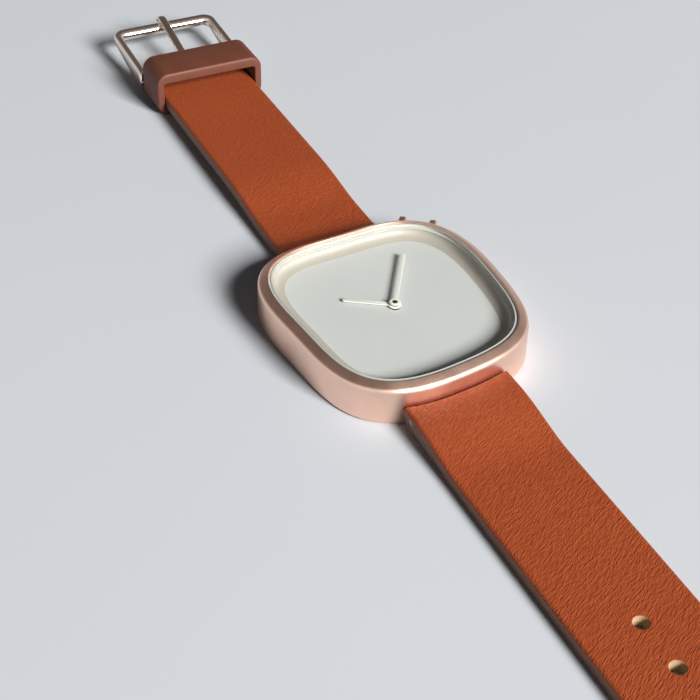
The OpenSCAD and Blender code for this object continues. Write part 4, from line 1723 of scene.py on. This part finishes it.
@dataclass
class Studio:
    """Table, room, lamp and the camera at the photograph's angle."""

    focal_px: float = 1600.0
    frame_px: float = 700.0
    sensor: float = 36
    clip: Flat = (0.01, 10)
    yaw: float = 63.735
    pitch: float = 38.094
    roll: float = 1.292
    eye: Point = (-94.22, -175.64, 152.12)
    table_size: float = 3000
    table_z: float = -0.02
    dark_side: Point = (0.1, 0.5, 0.86)
    room: Stops = ((0.0, (1.0, 1.0, 1.0)), (0.3, (0.95, 0.95, 0.95)), (0.5, (0.4, 0.37, 0.36)),
                   (0.7, (0.2, 0.17, 0.16)), (1.0, (0.12, 0.1, 0.09)))
    backdrop: Colour = (0.75, 0.77, 0.8)
    room_strength: float = 0.85
    fill_strength: float = 0.13
    key_from: Point = (0.31, -0.95, 0.6)
    key_distance: float = 3.0
    key_size: float = 1.0
    key_power: float = 178.0
    key_colour: Colour = (1, 0.97, 0.93)

    def place_camera(self) -> None:
        """Camera by its heading, tilt and roll."""
        yaw, pitch, roll = radians(self.yaw), radians(self.pitch), radians(self.roll)
        ahead = Vector((cos(yaw) * cos(pitch), sin(yaw) * cos(pitch), -sin(pitch)))
        right = Vector((sin(yaw), -cos(yaw), 0))
        up = right.cross(ahead)
        r = cos(roll) * right + sin(roll) * up
        u = -sin(roll) * right + cos(roll) * up
        data = bpy.data.cameras.new("photo_view")
        data.sensor_width = self.sensor
        data.lens = self.focal_px * self.sensor / self.frame_px
        data.clip_start, data.clip_end = self.clip
        camera = bpy.data.objects.new("photo_view", data)
        bpy.context.scene.collection.objects.link(camera)
        rows = [(r[k], u[k], -ahead[k], self.eye[k] * MM) for k in range(3)]
        camera.matrix_world = Matrix((*rows, (0, 0, 0, 1)))
        bpy.context.scene.camera = camera

    def lay_table(self) -> None:
        """Wide pale floor just under the watch."""
        bm = bmesh.new()
        bmesh.ops.create_grid(bm, x_segments=2, y_segments=2, size=self.table_size)
        bmesh.ops.translate(bm, vec=(0, 0, self.table_z), verts=bm.verts[:])
        table = finish_mesh(bm, "table")
        table.data.materials.append(TablePaint().build())

    def light_room(self) -> None:
        """Pale room that is darker high behind the watch, and dim where it lights dull faces."""
        world = bpy.data.worlds.new("room")
        bpy.context.scene.world = world
        world.use_nodes = True
        sheet = NodeSheet(world.node_tree)
        toward = sheet.add("ShaderNodeVectorMath", {
            0: sheet.add("ShaderNodeTexCoord").outputs["Generated"],
            1: Vector(self.dark_side).normalized()}, operation="DOT_PRODUCT")
        rays = sheet.add("ShaderNodeLightPath").outputs
        shine = sheet.math("MAXIMUM", rays["Is Glossy Ray"], rays["Is Transmission Ray"])
        direct = sheet.math("LESS_THAN", rays["Diffuse Depth"], 0.5)
        level = sheet.spread(sheet.math("MULTIPLY", shine, direct), 0, 1, self.fill_strength,
                             self.room_strength)
        around = sheet.add("ShaderNodeBackground", {
            "Color": sheet.ramp(toward.outputs["Value"], self.room), "Strength": level})
        seen = sheet.add("ShaderNodeBackground", {"Color": (*self.backdrop, 1)})
        sheet.add("ShaderNodeOutputWorld", {"Surface": sheet.either(
            rays["Is Camera Ray"], around.outputs["Background"], seen.outputs["Background"])})
        world.cycles.sampling_method = "NONE"

    def hang_key(self) -> None:
        """Soft square lamp from the lower right, facing the watch."""
        data = bpy.data.lights.new("key", "AREA")
        data.shape = "SQUARE"
        data.size = self.key_size
        data.energy = self.key_power
        data.color = self.key_colour
        lamp = bpy.data.objects.new("key", data)
        direction = Vector(self.key_from).normalized()
        lamp.location = direction * self.key_distance
        lamp.rotation_euler = direction.to_track_quat("Z", "Y").to_euler()
        bpy.context.scene.collection.objects.link(lamp)

    def build(self) -> None:
        """Set the view transform and make everything."""
        bpy.context.scene.view_settings.view_transform = "Standard"
        self.place_camera()
        self.lay_table()
        self.light_room()
        self.hang_key()


@dataclass
class Finishes:
    """Every finish of the watch, built once."""

    made: Dict[str, Material] = field(default_factory=dict)

    def get(self, finish: Finish) -> Material:
        """Material of a finish, made at its first use."""
        if finish.name not in self.made:
            self.made[finish.name] = finish.build()
        return self.made[finish.name]


SCREW_STEEL = SatinMetal("screw_steel", rgb(205, 203, 200), 0.2)
STEM_STEEL = SatinMetal("stem_steel", rgb(170, 172, 175), 0.25, Surface.TURNED)
GEAR_BRASS = SatinMetal("gear_brass", rgb(200, 178, 120), 0.25, Surface.TURNED)
GASKET_BLACK = Moulding("gasket_black", (0.02, 0.02, 0.02), 0.6)
INNER_FINISHES: Dict[str, Finish] = {
    "case_back": SatinMetal("back_metal", rgb(224, 190, 172), 0.32, Surface.BRUSHED),
    "case_back_gasket": GASKET_BLACK,
    "case_back_screws": SCREW_STEEL,
    "dial": Lacquer("dial_lacquer", rgb(204, 209, 208), 0.5),
    "cannon_pinion": GEAR_BRASS,
    "minute_wheel": GEAR_BRASS,
    "hour_wheel": GEAR_BRASS,
    "movement_holder": Moulding("holder_plastic", rgb(230, 225, 212), 0.45),
    "movement_plate": SatinMetal("plate_brass", rgb(190, 172, 128), 0.38),
    "battery": SatinMetal("battery_steel", rgb(206, 208, 211), 0.22, Surface.TURNED),
    "battery_clip": SatinMetal("clip_brass", rgb(206, 182, 118), 0.25, Surface.BRUSHED),
    "coil": WoundWire(),
    "coil_core": SatinMetal("core_steel", rgb(160, 162, 165), 0.35),
    "circuit_board": Moulding("board_green", rgb(46, 104, 68), 0.3, grain_mm=0.4, depth_mm=0.006),
    "movement_cover": SatinMetal("cover_steel", rgb(200, 202, 204), 0.3, Surface.TURNED),
    "setting_pinion": STEM_STEEL,
    "winding_stem": STEM_STEEL,
    "crown_tube": SCREW_STEEL,
    "crown_gasket": GASKET_BLACK,
    "strap_bar_12": SCREW_STEEL,
    "strap_bar_6": SCREW_STEEL,
    "buckle_pin": SCREW_STEEL,
}


def main() -> None:
    """Build the studio, then every sub-assembly, and finish the plain inner pieces."""
    logging.basicConfig(level=logging.INFO, format="%(name)s %(message)s")
    get = Finishes().get
    Studio().build()
    outline = CaseOutline()
    head = Head(outline)
    head.build_case(get(SatinMetal("case_metal", rgb(250, 211, 191), 0.32, grain_mm=0.18,
                                   depth_mm=0.01)))
    head.build_crystal(get(Glass()), get(GroundGlass()), get(Glass("crystal_facet", ior=1.5)))
    head.build_gasket(get(Moulding("gasket_pale", rgb(196, 197, 192), 0.5)))
    head.build_flange(get(Lacquer("flange_lacquer", rgb(177, 173, 163), 0.5)))
    lacquer = get(Lacquer("hand_lacquer", rgb(232, 235, 230), 0.35))
    Hand("short_hand", "hour_hand", "hour", length=8.2, degree=147.3, level=4.80, hole_r=0.64,
         hub_r=1.03).build(lacquer)
    Hand("long_hand", "minute_hand", "minute", length=13.3, degree=57.6, level=5.26, hole_r=0.43,
         hub_r=0.87).build(lacquer)
    Crown(outline).build(get(SatinMetal("crown_metal", rgb(222, 182, 162), 0.24)))
    hides = [get(Leather()), get(PaintedEdge()),
             get(SplitLeather("strap_lining", rgb(150, 92, 62), rgb(186, 124, 90))),
             get(SplitLeather("strap_raw", rgb(150, 120, 84), rgb(204, 178, 136)))]
    HoleSide(outline, End.SIX, head.bar_6, finishes=hides).build()
    BuckleSide(outline, End.TWELVE, head.bar_12, fold_l=4.0, finishes=hides).build()
    Keeper().build(get(Moulding("keeper_rubber", rgb(102, 56, 40), 0.6)))
    polished = get(SatinMetal("buckle_metal", rgb(244, 229, 217), 0.15, depth_mm=0.0004))
    buckle = Buckle()
    buckle.build_frame(polished)
    buckle.build_tongue(polished)
    for node, finish in INNER_FINISHES.items():
        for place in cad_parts[node].material_slots:
            place.material = get(finish)
        LOG.info("%s: finish %s", node, finish.name)


if __name__ == "__main__":
    main()
